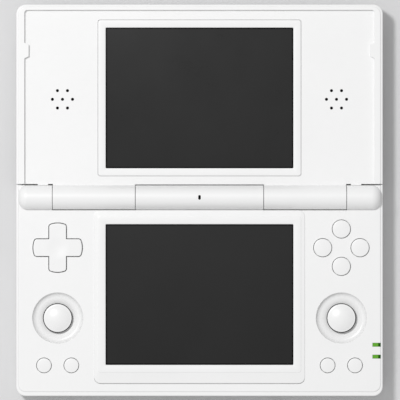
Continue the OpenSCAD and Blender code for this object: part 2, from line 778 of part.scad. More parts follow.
module top_shell() color(white) on_hinge() {
    difference() {
        union() {
            difference() {
                union() {
                    face_bed([z_skin, z_face - rim_drop / 2], -fit);
                    face_top();
                }
                behind_barrel();
            }
            // trough under the lid's knuckles and cradle of the middle knuckle
            hinge_bar([-end_inner, end_inner], barrel_r + sweep_gap + wall);
            block([-end_inner, end_inner], [0, barrel_r], [sill_z - wall, sill_z]);
            block([-centre_half, centre_half], [-barrel_r, barrel_r], [sill_z, z_skin]);
            // end knuckles
            both_sides() {
                hinge_bar([end_inner, end_outer - barrel_end_r], barrel_r);
                translate([end_outer - barrel_end_r, 0, hinge_z]) rotate([0, 90, 0]) rotate_extrude()
                    edge_section(barrel_r, barrel_end_r, 0, barrel_end_r);
                block([end_inner, end_outer - barrel_end_r], [-barrel_r, barrel_r], [sill_z + fit, hinge_z]);
                for (p = post_places) post(p, [z_board_top, z_skin + over / 2], post_r - 2 * fit);
            }
        }
        // nothing of the trough above the face, behind the rear wall or in the side walls
        block([-end_inner, end_inner], [-2 * barrel_r, 2 * barrel_r], [z_face, hinge_z + 2 * barrel_r]);
        block([-centre_half, centre_half], [-barrel_r - fit / 2, 2 * barrel_r],
              [z_skin, hinge_z + 2 * barrel_r]);
        block([-end_inner, end_inner], [0, 2 * barrel_r], [z_under, sill_z - wall]);
        both_sides() block([half_w - side_wall - fit, half_w], [-2 * barrel_r, 2 * barrel_r], [0, z_skin]);
        behind_barrel();
        knuckle_room();
        hinge_bar([-centre_half - over, centre_half + over], barrel_r - wall);
        hinge_bar([end_inner - over, knuckle_end], spindle_r + press);
        hinge_bar([-knuckle_end, -end_inner + over], bush_bore + bush_wall + press);
        // window of the lower screen
        plate(glass_w + 2 * fit + 2 * rib,
              [-lower_row - glass_l / 2 - fit - rib, -lower_row + glass_l / 2 + fit + rib],
              [z_skin - over, z_face + over], seat_r);
        // holes of the controls
        translate([-column_x, -pad_row, z_skin - over]) linear_extrude(face_wall + 2 * over)
            cross_2d(dpad_play);
        for (p = button_places) post(p, [z_skin - over, z_face + over], button_d / 2 + play);
        both_sides() {
            for (p = small_places) post(p, [z_skin - over, z_face + over], small_d / 2 + play);
            post([column_x, -stick_row], [z_skin - over, z_face + over], dish_d / 2);
            for (p = post_places) post(p, [z_board_top - over, screw_tip + fit], screw_r + hole_play / 3);
            post([pivot_x, pivot_y], [shoulder_z[1], z_pivot_top], pivot_r + press);
        }
        light_bars(fit / 2, over, half_w - side_rim + over);
        frame_groove();
    }
}

// The seam in front of the lower frame, which fades out round the corners of the frame
module frame_groove() {
    difference() {
        plate(frame_w, [frame_y[0] - frame_seam, frame_y[1] - frame_seam],
              [z_face - seam_depth, z_face + over], frame_r);
        plate(frame_w, frame_y, [z_skin, z_face + 2 * over], frame_r);
    }
}

module hinge_centre_cover() color(white) on_hinge() {
    difference() {
        hinge_bar([-centre_half, centre_half], barrel_r);
        hinge_bar([-centre_half - over, centre_half + over], barrel_r - wall);
        block([-centre_half - over, centre_half + over], [-2 * barrel_r, 2 * barrel_r], [0, z_skin]);
        translate([0, 0, hinge_z]) linear_extrude(2 * barrel_r) pill(mic_slot[0], mic_slot[1]);
    }
}

module lower_screen_frame() color(white) on_hinge() {
    difference() {
        union() {
            plate(frame_w, frame_y, [z_face, z_frame], frame_r);
            plate(border_w, border_y, [z_face, z_border], border_r);
            plate(glass_w + 2 * rib, [-lower_row - glass_l / 2 - rib, -lower_row + glass_l / 2 + rib],
                  [z_skin, z_face], seat_r);
        }
        plate(screen_w, [-lower_row - lower_l / 2, -lower_row + lower_l / 2],
              [z_touch, z_border + over], window_r);
        plate(glass_w + 2 * fit, [-lower_row - glass_l / 2 - fit, -lower_row + glass_l / 2 + fit],
              [z_skin - over, z_touch_top], glass_r + fit);
    }
}

module touch_panel() color(dark) on_hinge() {
    plate(glass_w, [-lower_row - glass_l / 2, -lower_row + glass_l / 2], [z_touch, z_touch_top], glass_r);
}

module lower_display() color(grey) on_hinge() {
    plate(display_w, [-lower_row - display_l / 2, -lower_row + display_l / 2],
          [z_lower_display, z_touch], glass_r);
}

module main_board() color(board_green) on_hinge() {
    room = housing_w / 2 + 3 * fit;
    difference() {
        plate(body_w - 2 * (side_wall + board_gap), [-base_len + front_wall + board_gap, -bay_rear - 3 * fit],
              [z_board, z_board_top], seat_r);
        both_sides() {
            block([column_x - room, column_x + room], [-stick_row - room, -stick_row + room],
                  [z_board - over, z_board_top + over]);
            block([shoulder_x - over, half_w], [shoulder_front - shoulder_swing - 4 * fit, 0],
                  [z_board - over, z_board_top + over]);
            for (p = post_places) post(p, [z_board - over, z_board_top + over], screw_r + hole_play + fit);
        }
    }
}

// Two processors, each beside a circle pad, and two smaller chips near the left column
module board_chips() color(dark) on_hinge() {
    chip_gap = 5;                                // free space beside a chip, and its height above the board
    small_t = 1;
    chip_x = column_x - housing_w / 2 - chip_w / 2 - chip_gap;
    for (x = [-chip_x, chip_x])
        block([x - chip_w / 2, x + chip_w / 2], [-stick_row - chip_w / 2, -stick_row + chip_w / 2],
              [z_board - chip_t, z_board]);
    small_x = -bay_half - rib - small_chip / 2 - chip_gap;
    for (y = [-pad_row - small_chip - chip_gap, -pad_row])
        block([small_x - small_chip / 2, small_x + small_chip / 2],
              [y, y + small_chip], [z_board - small_t, z_board]);
}

// A wireless module that hangs below the board on its connector
module radio_board() color(board_green) on_hinge() {
    radio_gap = 3;                               // free space beside it, and its drop below the board
    drop = 1.4;
    plug_l = 2;
    can_t = 1.6;
    x = bay_half + rib + radio_gap + radio_w / 2;
    y = [-pad_row - radio_l / 2 - plug_l, -pad_row + radio_l / 2 - plug_l];
    top = z_board - drop;
    block([x - radio_w / 2, x + radio_w / 2], y, [top - board_t, top]);
    block([x - radio_w / 3, x + radio_w / 3], [y[1] - plug_l - over, y[1] - over],
          [top - board_t / 2, z_board]);
    block([x - radio_w / 3, x + radio_w / 3], [y[0] + plug_l, y[1] - 2 * plug_l],
          [top - can_t - over, top - board_t / 2]);
}

module battery() color(grey) on_hinge() {
    middle = (bay_y[0] + bay_y[1]) / 2;
    low = z_under + cover_t + fit;
    plate(battery_w, [middle - battery_l / 2, middle + battery_l / 2], [low, low + battery_t], cover_r);
}

module battery_cover() color(white) on_hinge() {
    difference() {
        plate(2 * cover_half, cover_y, [z_under, z_under + cover_t], cover_r);
        post([0, cover_screw_y], [z_under - over, z_under + fit + cover_head_h], cover_head_r + fit);
        post([0, cover_screw_y], [z_under, z_under + cover_t + over], screw_r + fit);
    }
}

module battery_cover_screw() color(steel) on_hinge() {
    low = z_under + fit;
    post([0, cover_screw_y], [low, low + cover_head_h], cover_head_r);
    post([0, cover_screw_y], [low + cover_head_h, cover_screw_top], screw_r);
}

module card_connector() color(dark) on_hinge() {
    half = card_w / 2 + rib - 2 * fit;
    mouth = connector_t - 0.8;
    difference() {
        block([-half, half], [connector_y, connector_y + connector_t], [z_floor, z_board]);
        block([-card_w / 2 + 1, card_w / 2 - 1], [connector_y - over, connector_y + mouth],
              [card_z[0] + 0.8, card_z[1] - 1.1]);
    }
    block([-card_w / 2 + 2, card_w / 2 - 2], [connector_y + 0.2, connector_y + mouth + fit],
          [card_z[0] + 1.8, card_z[0] + 2.6]);
}

module charging_port() color(steel) on_hinge() {
    y = [-port_row - port_mouth[0] / 2, -port_row + port_mouth[0] / 2];
    z = [port_z - port_mouth[1] / 2, port_z + port_mouth[1] / 2];
    x = -half_w + 2 * fit;
    difference() {
        block([x, x + port_len], [y[0] - port_wall, y[1] + port_wall], [z[0] - port_wall, z_board]);
        block([x - over, x + port_len - 0.8], y, z);
    }
    block([x + 0.8, x + port_len - 0.6], [y[0] + 1.1, y[1] - 1.1], [port_z - 0.3, port_z + 0.3]);
}

module headphone_jack() color(dark) on_hinge() {
    body_y = -base_len + front_wall + 3 * fit;
    difference() {
        union() {
            translate([front_x, -base_len + fit, jack_z]) rotate([-90, 0, 0])
                cylinder(r = jack_nut_r, h = front_wall + 3 * fit);
            block([front_x - jack_w / 2, front_x + jack_w / 2], [body_y, -base_len + jack_depth + over],
                  [jack_z - 2.5, z_board]);
        }
        translate([front_x, -base_len - over, jack_z]) rotate([-90, 0, 0])
            cylinder(r = jack_r, h = jack_depth + over);
    }
}

// A capsule on a small board that hangs from the inside of the centre cover
module microphone() color(dark) on_hinge() {
    inner = barrel_r - wall;
    capsule_r = 1.5;
    low = hinge_z + 0.8;
    post([0, 0], [low, hinge_z + sqrt(pow(inner, 2) - pow(capsule_r + fit, 2)) - press], capsule_r);
    block([-5, 5], [-capsule_r, capsule_r], [low - 0.6, low]);
    both_sides() block([4, 5], [-1, 1], [low, hinge_z + sqrt(pow(inner, 2) - 1) - press]);
}

module indicator_lights() color(green) on_hinge() {
    light_bars(0, -rim_drop / 2, half_w - side_rim - fit);
    intersection() {
        light_bars(0, 0, half_w - side_rim);
        face_top();
    }
    for (row = [for (f = light_fronts) base_len - f])
        block([half_w - light_reach, half_w - light_reach + 1], [-row - light_len / 2, -row + light_len / 2],
              [z_board_top, z_face - light_drop]);
}

// Silicone sheets on the board, with a dome below each button
module button_membranes() color(pale) on_hinge() {
    sheet = [z_board_top, z_board_top + 0.4];
    button_dome = z_lip - button_travel - fit;
    small_dome = z_lip - small_travel - fit;
    dpad_dome = pivot_z - dpad_rise - fit;
    dome_r = 2.6;
    small_dome_r = 2.1;
    dpad_dome_r = 2;
    dpad_dome_x = dpad_span / 2 - 2.75;
    sheet_half = button_offset + dome_r - 0.5;
    difference() {
        block([-column_x - sheet_half, -column_x + sheet_half],
              [-pad_row - sheet_half, -pad_row + sheet_half], sheet);
        post([-column_x, -pad_row], [z_board, z_face], ball_r + 3 * fit);
    }
    for (a = [0:90:270])
        post([-column_x + dpad_dome_x * cos(a), -pad_row + dpad_dome_x * sin(a)],
             [sheet[0], dpad_dome], dpad_dome_r);
    block([column_x - sheet_half, column_x + sheet_half],
          [-pad_row - sheet_half, -pad_row + sheet_half], sheet);
    for (p = button_places) post(p, [sheet[0], button_dome], dome_r);
    both_sides() {
        block([small_places[0][0] - dome_r, small_places[1][0] + dome_r],
              [-small_row - dome_r, -small_row + dome_r], sheet);
        for (p = small_places) post(p, [sheet[0], small_dome], small_dome_r);
    }
}

module rubber_feet() color(grey) on_hinge() both_sides()
    for (p = foot_places) post(p, [0, z_under + foot_sink], foot_r);

module base_screws() color(steel) on_hinge() both_sides()
    for (p = post_places) screw(p, z_under + head_sink, screw_tip, head_r);

module hinge_bush_left() color(pale) on_hinge() {
    difference() {
        union() {
            hinge_bar([-knuckle_end, -end_inner], bush_bore + bush_wall);
            hinge_bar([-end_inner, -end_inner + hinge_reach], knuckle_bore - hinge_play);
        }
        hinge_bar([-end_outer, 0], bush_bore);
    }
}

module hinge_spindle_right() color(steel) on_hinge() {
    hinge_bar([end_inner - hinge_reach - 4, knuckle_end], spindle_r);
}

// The ring round a circle pad, concave towards the cap
module dish(x) color(white) on_hinge() translate([x, -stick_row, 0]) {
    rise = dish_depth;
    land = 0.8;                                  // flat strip round the opening
    span = dish_d / 2 - fit - aperture_r - land;
    bend = (span * span + rise * rise) / (2 * rise);
    rotate_extrude() difference() {
        union() {
            translate([aperture_r, z_dish_low]) square([dish_d / 2 - fit - aperture_r, z_face - z_dish_low]);
            translate([aperture_r, z_dish_low])
                square([dish_d / 2 + dish_lip - aperture_r, z_skin - fit - z_dish_low]);
        }
        translate([aperture_r + land, z_dish + bend]) circle(bend);
        translate([0, z_dish]) square([aperture_r + land, z_face]);
    }
}

module circle_pad_left_dish() dish(-column_x);
module circle_pad_right_dish() dish(column_x);

// The open-topped box under a dish, with the two rails that its carriage runs on
module housing(x) color(dark) on_hinge() translate([x, -stick_row, 0]) {
    half = housing_w / 2;
    inner = half - housing_wall;
    difference() {
        block([-half, half], [-half, half], [z_housing, z_dish_low]);
        block([-inner, inner], [-inner, inner], [z_housing + 1, z_dish_low + over]);
    }
    for (s = [-1, 1]) translate([0, s * (inner - 0.7), 0])
        block([-inner, inner], [-0.7, 0.7], [z_housing + 1, z_carriage]);
}

module circle_pad_left_housing() housing(-column_x);
module circle_pad_right_housing() housing(column_x);

// The plate that carries the cap's stem: it slides along X, and the stem along Y in its slot
module carriage(x) color(steel) on_hinge() translate([x, -stick_row, z_carriage]) {
    half_l = housing_w / 2 - housing_wall - slide_gap;
    half_x = stem_r + 3;
    linear_extrude(carriage_t) difference() {
        square([2 * half_x, 2 * half_l], center = true);
        square([2 * (stem_r + hinge_play), 2 * (stick_travel + slide_gap)], center = true);
        for (s = [-1, 1]) translate([0, s * (stick_travel + slide_gap)]) circle(stem_r + hinge_play);
    }
}

module circle_pad_left_carriage() carriage(-column_x);
module circle_pad_right_carriage() carriage(column_x);

// The cap, its stem and the skirt that closes the dish's opening
module cap(x) color(white) on_hinge() translate([x, -stick_row, 0]) {
    top = z_face + cap_proud;
    low = z_face - 0.35;
    dome = 40;
    intersection() {
        translate([0, 0, low]) cylinder(d = cap_d, h = top - low + over);
        translate([0, 0, top - dome]) sphere(dome, $fn = 128);
    }
    post([0, 0], [z_carriage, low], stem_r);
    post([0, 0], [z_skirt, z_skirt + skirt_t], skirt_r);
}

module circle_pad_left_cap() cap(-column_x);
module circle_pad_right_cap() cap(column_x);

module shoulder_pivot_pins() color(steel) on_hinge() both_sides()
    post([pivot_x, pivot_y], [z_floor, z_pivot_top], pivot_r);

// Switches on the underside of the main board, behind the edge controls
module side_switches() color(dark) on_hinge() {
    y = shoulder_front - shoulder_swing - 6 * fit;
    gap = plate_t + 2 * fit;
    low = slider_z - 1.6;
    switch_w = 2.4;
    switch_l = 8;
    both_sides() block([shoulder_x + 1.5, shoulder_x + 7.5], [y - 3, y], [shoulder_z[0] + 0.8, z_board]);
    block([half_w - side_wall - gap - switch_w, half_w - side_wall - gap],
          [-power_row - switch_l / 2, -power_row + switch_l / 2], [low, z_board]);
    block([-front_x - switch_l / 2, -front_x + switch_l / 2],
          [-base_len + front_wall + gap, -base_len + front_wall + gap + switch_w], [low, z_board]);
}

// The ball that the directional pad rocks on
module dpad_pivot() color(pale) on_hinge()
    translate([-column_x, -pad_row, pivot_z]) sphere(ball_r, $fn = 96);

module dpad() color(pale) on_hinge() translate([-column_x, -pad_row, pivot_z]) {
    top = z_face + dpad_proud - pivot_z;
    dimple_r = 26;
    difference() {
        union() {
            linear_extrude(top) cross_2d(0);
            linear_extrude(dpad_lip_t) cross_2d(lip_w);
        }
        sphere(ball_r + hinge_play, $fn = 96);
        translate([0, 0, top + dimple_r - dpad_dimple]) sphere(dimple_r, $fn = 128);
    }
}

// A round button with a domed top and a lip that keeps it under the face
module button(at, d, proud) color(pale) on_hinge() {
    top = z_face + proud;
    dome = 14;
    intersection() {
        post(at, [z_lip, top + over], d / 2);
        translate([at[0], at[1], top - dome]) sphere(dome, $fn = 128);
    }
    post(at, [z_lip, z_lip + lip_t], d / 2 + lip_w);
}

module button_north() button(button_places[0], button_d, button_proud);
module button_east() button(button_places[1], button_d, button_proud);
module button_south() button(button_places[2], button_d, button_proud);
module button_west() button(button_places[3], button_d, button_proud);

module small_button(side, i) button([side * small_places[i][0], small_places[i][1]], small_d, small_proud);
module small_button_left_outer() small_button(-1, 1);
module small_button_left_inner() small_button(-1, 0);
module small_button_right_inner() small_button(1, 0);
module small_button_right_outer() small_button(1, 1);

// A corner button: its rear wall and its side wall follow the corner of the base
module shoulder_button(m) color(pale) on_hinge() mirror([m, 0, 0]) difference() {
    intersection() {
        slab(body_w - 2 * fit, [-base_len, barrel_r - fit], shoulder_z, shoulder_r, 0.4, 0.4);
        union() {
            block([shoulder_x, half_w], [barrel_r - fit - shoulder_depth, barrel_r], shoulder_z);
            block([half_w - fit - 3, half_w], [shoulder_front, barrel_r], shoulder_z);
        }
    }
    post([pivot_x, pivot_y], [shoulder_z[0] - over, shoulder_z[1] + over], pivot_r + hinge_play);
}

module shoulder_button_left() shoulder_button(1);
module shoulder_button_right() shoulder_button(0);

// The power slider rests at the rear end of its travel
module power_slider() color(pale) on_hinge() {
    y = -power_row + power_travel / 2;
    block([half_w - recess_depth + fit, half_w - fit], [y - power_knob / 2, y + power_knob / 2],
          [slider_z - knob_h / 2, slider_z + knob_h / 2]);
    block([half_w - side_wall - plate_t - fit, half_w - recess_depth + fit], [y - stem_w / 2, y + stem_w / 2],
          [slider_z - stem_h / 2, slider_z + stem_h / 2]);
    block([half_w - side_wall - plate_t - fit, half_w - side_wall - fit], [y - catch_w / 2, y + catch_w / 2],
          [slider_z - catch_h / 2, slider_z + catch_h / 2]);
}

// The volume slider rests in the middle of its travel
module volume_slider() color(pale) on_hinge() {
    block([-front_x - volume_knob / 2, -front_x + volume_knob / 2],
          [-base_len + fit, -base_len + recess_depth - fit],
          [slider_z - knob_h / 2, slider_z + knob_h / 2]);
    block([-front_x - stem_w / 2, -front_x + stem_w / 2],
          [-base_len + fit, -base_len + front_wall + fit + plate_t],
          [slider_z - stem_h / 2, slider_z + stem_h / 2]);
    block([-front_x - catch_w / 2, -front_x + catch_w / 2],
          [-base_len + front_wall + fit, -base_len + front_wall + fit + plate_t],
          [slider_z - catch_h / 2, slider_z + catch_h / 2]);
}

// The stylus lies in the base with its flat end at the front
module stylus() color(pale) on_hinge() translate([stylus_x, -base_len + fit, stylus_z]) rotate([-90, 0, 0]) {
    tip_r = 0.6;
    cone_h = 4.4;
    shaft = stylus_len - cone_h - tip_r;
    cylinder(r = stylus_r, h = shaft);
    translate([0, 0, shaft]) cylinder(r1 = stylus_r, r2 = tip_r, h = cone_h);
    translate([0, 0, shaft + cone_h - fit]) sphere(tip_r);
}

// The outline of the lid between two heights, drawn in by an inset, with a straight near edge
module lid_slab(z, r_low, r_top, inset) {
    near = lid_near + inset;
    difference() {
        slab(body_w - 2 * inset, [near - 2 * corner_r, lid_len - inset], z,
             max(corner_r - inset, r_low + 0.1, r_top + 0.1), r_low, r_top);
        block([-half_w - over, half_w + over], [near - 3 * corner_r, near], [z[0] - over, z[1] + over]);
    }
}

module lid_outer_shell() color(white) on_hinge() {
    root = z_lid_back + wall / 2;
    lip_top = z_lid_seam + lid_lip_h;
    difference() {
        lid_slab([z_lid_back, z_lid_seam], edge_r, 0, 0);
        lid_slab([z_lid_back + wall, z_lid_seam + over], edge_r - wall + fit, 0, wall);
        rounded_edge(lid_near, z_lid_back, back_r, -1);
    }
    // lip that locates the inner shell: it grows out of the floor and of the wall, and stands over the seam
    difference() {
        union() {
            lid_slab([root, z_lid_seam], 0, 0, wall - fit);
            lid_slab([root, lip_top], 0, 0, wall + fit / 2);
        }
        lid_slab([root - over, lip_top + over], 0, 0, wall + lid_lip_t);
    }
}

// The raised rim of the lid: the whole outline less the sunken face, plus two tabs
module lid_face_2d() {
    half = half_w - lid_rim_side;
    far = lid_len - lid_rim_far;
    difference() {
        union() {
            translate([-half, 0]) square([2 * half, far - lid_rim_r]);
            translate([-half + lid_rim_r, 0]) square([2 * (half - lid_rim_r), far]);
            for (s = [-1, 1]) translate([s * (half - lid_rim_r), far - lid_rim_r]) circle(lid_rim_r);
        }
        for (m = [0, 1]) mirror([m, 0]) polygon([
            [half + 1, tab_row - tab_len / 2], [half, tab_row - tab_len / 2],
            [half - tab_reach, tab_row - tab_len / 2 + tab_slant],
            [half - tab_reach, tab_row + tab_len / 2 - tab_slant],
            [half, tab_row + tab_len / 2], [half + 1, tab_row + tab_len / 2]]);
    }
}

// The raised part of the lid's rim, inside its outermost border
module lid_top() {
    difference() {
        slab(body_w - 2 * side_rim, [lid_near - 2 * corner_r, lid_len - side_rim], [z_lid_face, z_rim],
             corner_r - side_rim, 0, face_edge_r);
        block([-half_w, half_w], [lid_near - 3 * corner_r, lid_near], [z_lid_seam, z_rim + over]);
    }
}

module lid_inner_shell() color(white) on_hinge() {
    upper_y = [upper_row - upper_border_l / 2, upper_row + upper_border_l / 2];
    difference() {
        union() {
            difference() {
                union() {
                    lid_slab([z_lid_seam, z_rim - rim_drop], 0, rim_r, 0);
                    lid_top();
                }
                lid_slab([z_lid_seam - over, z_lid_skin], 0, 0, wall);
                translate([0, 0, z_lid_face]) linear_extrude(rim_h + over) lid_face_2d();
                both_sides() block([lid_knuckle[1], half_w + over], [lid_near - over, lid_near + end_relief],
                                   [z_lid_seam - over, z_rim + over]);
            }
            // knuckles, the webs that join them to the lid, and the stops
            both_sides() {
                hinge_bar(lid_knuckle, barrel_r);
                block(lid_knuckle, [0, lid_near + wall], [hinge_z - barrel_r, z_lid_face]);
                block([end_inner + stop_inset, end_inner + stop_inset + stop_w],
                      [barrel_r + stop_gap, lid_near + over / 2],
                      [z_lid_seam, z_lid_face]);
            }
        }
        both_sides() hinge_bar([lid_knuckle[0] - over, lid_knuckle[1] + over], knuckle_bore);
        // pocket of the lens frame and the window to the display
        plate(border_w + 2 * fit, [upper_y[0] - fit, upper_y[1] + fit], [z_lens, z_rim + over], border_r);
        plate(screen_w + 2 * lens_seat,
              [upper_row - upper_l / 2 - lens_seat, upper_row + upper_l / 2 + lens_seat],
              [z_lid_skin - over, z_rim], glass_r);
        both_sides() translate([speaker_x, speaker_row, z_lid_skin - over]) {
            cylinder(d = speaker_hole, h = wall + 2 * over);
            for (a = [0:60:300]) rotate(a) translate([speaker_pitch, 0, 0])
                cylinder(d = speaker_hole, h = wall + 2 * over);
        }
        // way of the display cable out of the left knuckle
        block([-flex_x[1] - 2 * fit, -flex_x[0] + 2 * fit], [0, lid_near + wall + over],
              [hinge_z - knuckle_bore, hinge_z - knuckle_bore + flex_t + 2 * fit]);
    }
}

module upper_lens_frame() color(white) on_hinge() {
    difference() {
        plate(border_w, [upper_row - upper_border_l / 2, upper_row + upper_border_l / 2],
              [z_lens, z_upper_border], border_r);
        plate(screen_w, [upper_row - upper_l / 2, upper_row + upper_l / 2],
              [z_lens - over, z_upper_border + over], window_r);
        plate(glass_w + 2 * fit, [upper_row - upper_glass_l / 2 - fit, upper_row + upper_glass_l / 2 + fit],
              [z_lens - over, z_lens_top], glass_r + fit);
    }
}

module upper_lens() color(dark) on_hinge() {
    plate(glass_w, [upper_row - upper_glass_l / 2, upper_row + upper_glass_l / 2],
          [z_lens, z_lens_top], glass_r);
}

module upper_display() color(grey) on_hinge() {
    plate(display_w, [upper_row - upper_display_l / 2, upper_row + upper_display_l / 2],
          [z_lid_skin - display_t, z_lid_skin], glass_r);
}

module speakers() color(dark) on_hinge() both_sides() {
    top = z_lid_skin - gauze_t;
    post([speaker_x, speaker_row], [top - speaker_t, top], speaker_d / 2 - 1.5);
    post([speaker_x, speaker_row], [top - speaker_t / 2, top], speaker_d / 2);
}

module speaker_meshes() color(grey) on_hinge() both_sides()
    post([speaker_x, speaker_row], [z_lid_skin - gauze_t, z_lid_skin], speaker_d / 2 - 1);

module hinge_friction_cartridge() color(steel) on_hinge() {
    outer = lid_knuckle[1] - fit;
    difference() {
        hinge_bar([outer - cartridge_len, outer], knuckle_bore - press);
        hinge_bar([end_inner - hinge_reach - 4.3, end_inner + over], spindle_r + hinge_play);
    }
}

module lid_magnet() color(steel) on_hinge()
    post([magnet_inset - half_w, lid_len - magnet_far], [z_lid_skin - magnet_t, z_lid_skin], magnet_r);

// The film that carries the display's lines: rolled in the left knuckle, then flat into the lid
module display_flex() color(copper) on_hinge() {
    roll_r = knuckle_bore - hinge_play;
    x = [-flex_x[1], -flex_x[0]];
    difference() {
        union() {
            hinge_bar(x, roll_r);
            block(x, [0, upper_row - upper_display_l / 2], [hinge_z - roll_r, hinge_z - roll_r + flex_t]);
        }
        hinge_bar([x[0] - over, x[1] + over], roll_r - flex_t);
    }
}

bottom_shell();
top_shell();
hinge_centre_cover();
lower_screen_frame();
touch_panel();
lower_display();
main_board();
board_chips();
radio_board();
battery();
battery_cover();
battery_cover_screw();
card_connector();
charging_port();
headphone_jack();
microphone();
indicator_lights();
button_membranes();
rubber_feet();
base_screws();
hinge_bush_left();
hinge_spindle_right();
circle_pad_left_dish();
circle_pad_right_dish();
circle_pad_left_housing();
circle_pad_right_housing();
shoulder_pivot_pins();
side_switches();
dpad_pivot();
dpad();
button_north();
button_east();
button_south();
button_west();
small_button_left_outer();
small_button_left_inner();
small_button_right_inner();
small_button_right_outer();
circle_pad_left_carriage();
circle_pad_left_cap();
circle_pad_right_carriage();
circle_pad_right_cap();
shoulder_button_left();
shoulder_button_right();
power_slider();
volume_slider();
stylus();
lid_inner_shell();
lid_outer_shell();
upper_lens_frame();
upper_lens();
upper_display();
speakers();
speaker_meshes();
hinge_friction_cartridge();
lid_magnet();
display_flex();
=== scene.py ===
"""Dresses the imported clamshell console: smooth controls, framed screens, moulded plastics, a plain stage."""

import math

import bpy
import numpy as np
from bpy.props import FloatProperty, FloatVectorProperty, IntProperty, PointerProperty
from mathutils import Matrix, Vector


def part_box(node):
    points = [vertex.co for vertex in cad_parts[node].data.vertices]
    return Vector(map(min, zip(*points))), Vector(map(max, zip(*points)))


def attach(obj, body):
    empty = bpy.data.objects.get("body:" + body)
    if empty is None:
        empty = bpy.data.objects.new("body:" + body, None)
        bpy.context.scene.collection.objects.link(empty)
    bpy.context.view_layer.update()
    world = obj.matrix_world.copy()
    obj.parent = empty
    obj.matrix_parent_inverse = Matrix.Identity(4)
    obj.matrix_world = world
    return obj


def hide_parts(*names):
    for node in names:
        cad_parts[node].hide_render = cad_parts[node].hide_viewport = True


bl_info = {
    "name": "Clamshell console dressing",
    "version": (1, 0, 0),
    "blender": (4, 5, 0),
    "location": "3D View > Sidebar > Console",
    "description": "Builds the visible pieces of a clamshell handheld console round its packed frame",
    "category": "Object",
}

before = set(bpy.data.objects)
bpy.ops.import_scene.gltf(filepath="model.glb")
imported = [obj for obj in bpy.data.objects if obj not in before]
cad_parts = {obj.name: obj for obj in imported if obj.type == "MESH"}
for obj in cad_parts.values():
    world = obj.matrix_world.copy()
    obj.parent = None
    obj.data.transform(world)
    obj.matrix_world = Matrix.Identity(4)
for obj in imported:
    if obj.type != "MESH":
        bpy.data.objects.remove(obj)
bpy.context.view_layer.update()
MM = 0.001
LEAST_RADIUS = 0.03  # the least corner radius in millimetres, so that no two points of an outline meet


def span(node):
    """The node's box in millimetres as two arrays, lowest and highest corner."""
    low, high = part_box(node)
    return np.array(low) / MM, np.array(high) / MM


def middle(node):
    """The middle of the node's box in millimetres."""
    low, high = span(node)
    return (low + high) / 2


def footprint(node, grow=0.0):
    """The node's box from above, grown by a margin, as (x low, x high, y low, y high)."""
    low, high = span(node)
    return low[0] - grow, high[0] + grow, low[1] - grow, high[1] + grow


def face_height():
    """The height of the face of the base, which the rims of the dishes are level with."""
    return span("circle_pad_left_dish")[1][2]


# ---------------------------------------------------------------- surfaces


def grid_quads(rows, columns, close_rows=False, close_columns=True):
    """Corner numbers of the quads of a grid: each joins a point and the next one in its row to the same two
    of the next row."""
    r = np.arange(rows if close_rows else rows - 1)[:, None]
    c = np.arange(columns if close_columns else columns - 1)[None, :]
    next_r, next_c = (r + 1) % rows, (c + 1) % columns
    corners = (r * columns + c, r * columns + next_c, next_r * columns + next_c, next_r * columns + c)
    return np.stack(np.broadcast_arrays(*corners), -1).reshape(-1, 4)


def volume(points, faces):
    """Six times the enclosed volume: the sum over each face, cut into a fan, of its corners' triple
    products."""
    total = 0.0
    for block in faces:
        corners = points[block]
        first = np.broadcast_to(corners[:, :1], corners[:, 1:-1].shape)
        total += np.einsum("ijk,ijk->", first, np.cross(corners[:, 1:-1], corners[:, 2:]))
    return total


def skin(rings, start="flat", end="flat"):
    """A closed skin over a stack of rings, shape (rings, points, 3): quads between neighbours, and at each
    end a flat face, a fan to the ring's middle ("point"), or nothing where both ends meet ("loop")."""
    rings = np.asarray(rings, float)
    count, around = rings.shape[:2]
    points = rings.reshape(-1, 3)
    faces = [grid_quads(count, around, close_rows=start == "loop")]
    for kind, ring, flip in ((start, 0, True), (end, count - 1, False)):
        index = ring * around + np.arange(around)
        index = index[::-1] if flip else index
        if kind == "flat":
            faces.append(index[None, :])
        elif kind == "point":
            pole = len(points)
            points = np.vstack([points, rings[ring].mean(0)])
            faces.append(np.stack([index, np.roll(index, -1), np.full(around, pole)], -1))
    if volume(points, faces) < 0:
        faces = [block[:, ::-1] for block in faces]
    return points, faces


def piece(name, skins, sharp=34.0):
    """One object at the origin from closed skins in millimetres, smooth but for edges over an angle."""
    points, faces, start = [], [], 0
    for part_points, blocks in skins:
        points.append(part_points)
        faces += [face for block in blocks for face in (block + start).tolist()]
        start += len(part_points)
    mesh = bpy.data.meshes.new(name)
    mesh.from_pydata((np.vstack(points) * MM).tolist(), [], faces)
    mesh.validate()
    mesh.shade_smooth()
    mesh.set_sharp_from_angle(angle=math.radians(sharp))
    obj = bpy.data.objects.new(name, mesh)
    bpy.context.scene.collection.objects.link(obj)
    return obj


def dress(obj, body, material, slot, *nodes):
    """Gives a new piece its material and its body, and hides the nodes that it stands for. The slot is not
    used.
    """
    obj.data.materials.append(material)
    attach(obj, body)
    if nodes:
        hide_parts(*nodes)


def paint(material, *nodes):
    """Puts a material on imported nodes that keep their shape."""
    for name in nodes:
        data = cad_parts[name].data
        data.materials.clear()
        data.materials.append(material)


# ---------------------------------------------------------------- outlines and profiles


def rectangle(box, radius, inset=0.0):
    """A rounded rectangle drawn in by an inset: at each corner a quarter circle about a point that lies the
    radius in from both sides. box is (x low, x high, y low, y high)."""
    x0, x1, y0, y1 = box[0] + inset, box[1] - inset, box[2] + inset, box[3] - inset
    r = max(radius - inset, LEAST_RADIUS)
    turn = np.radians(np.linspace(0, 90, 9))
    corners = [(x1 - r, y1 - r, 0), (x0 + r, y1 - r, 90), (x0 + r, y0 + r, 180), (x1 - r, y0 + r, 270)]
    arcs = [np.stack([x + r * np.cos(turn + math.radians(a)), y + r * np.sin(turn + math.radians(a))], -1)
            for x, y, a in corners]
    return np.vstack(arcs)


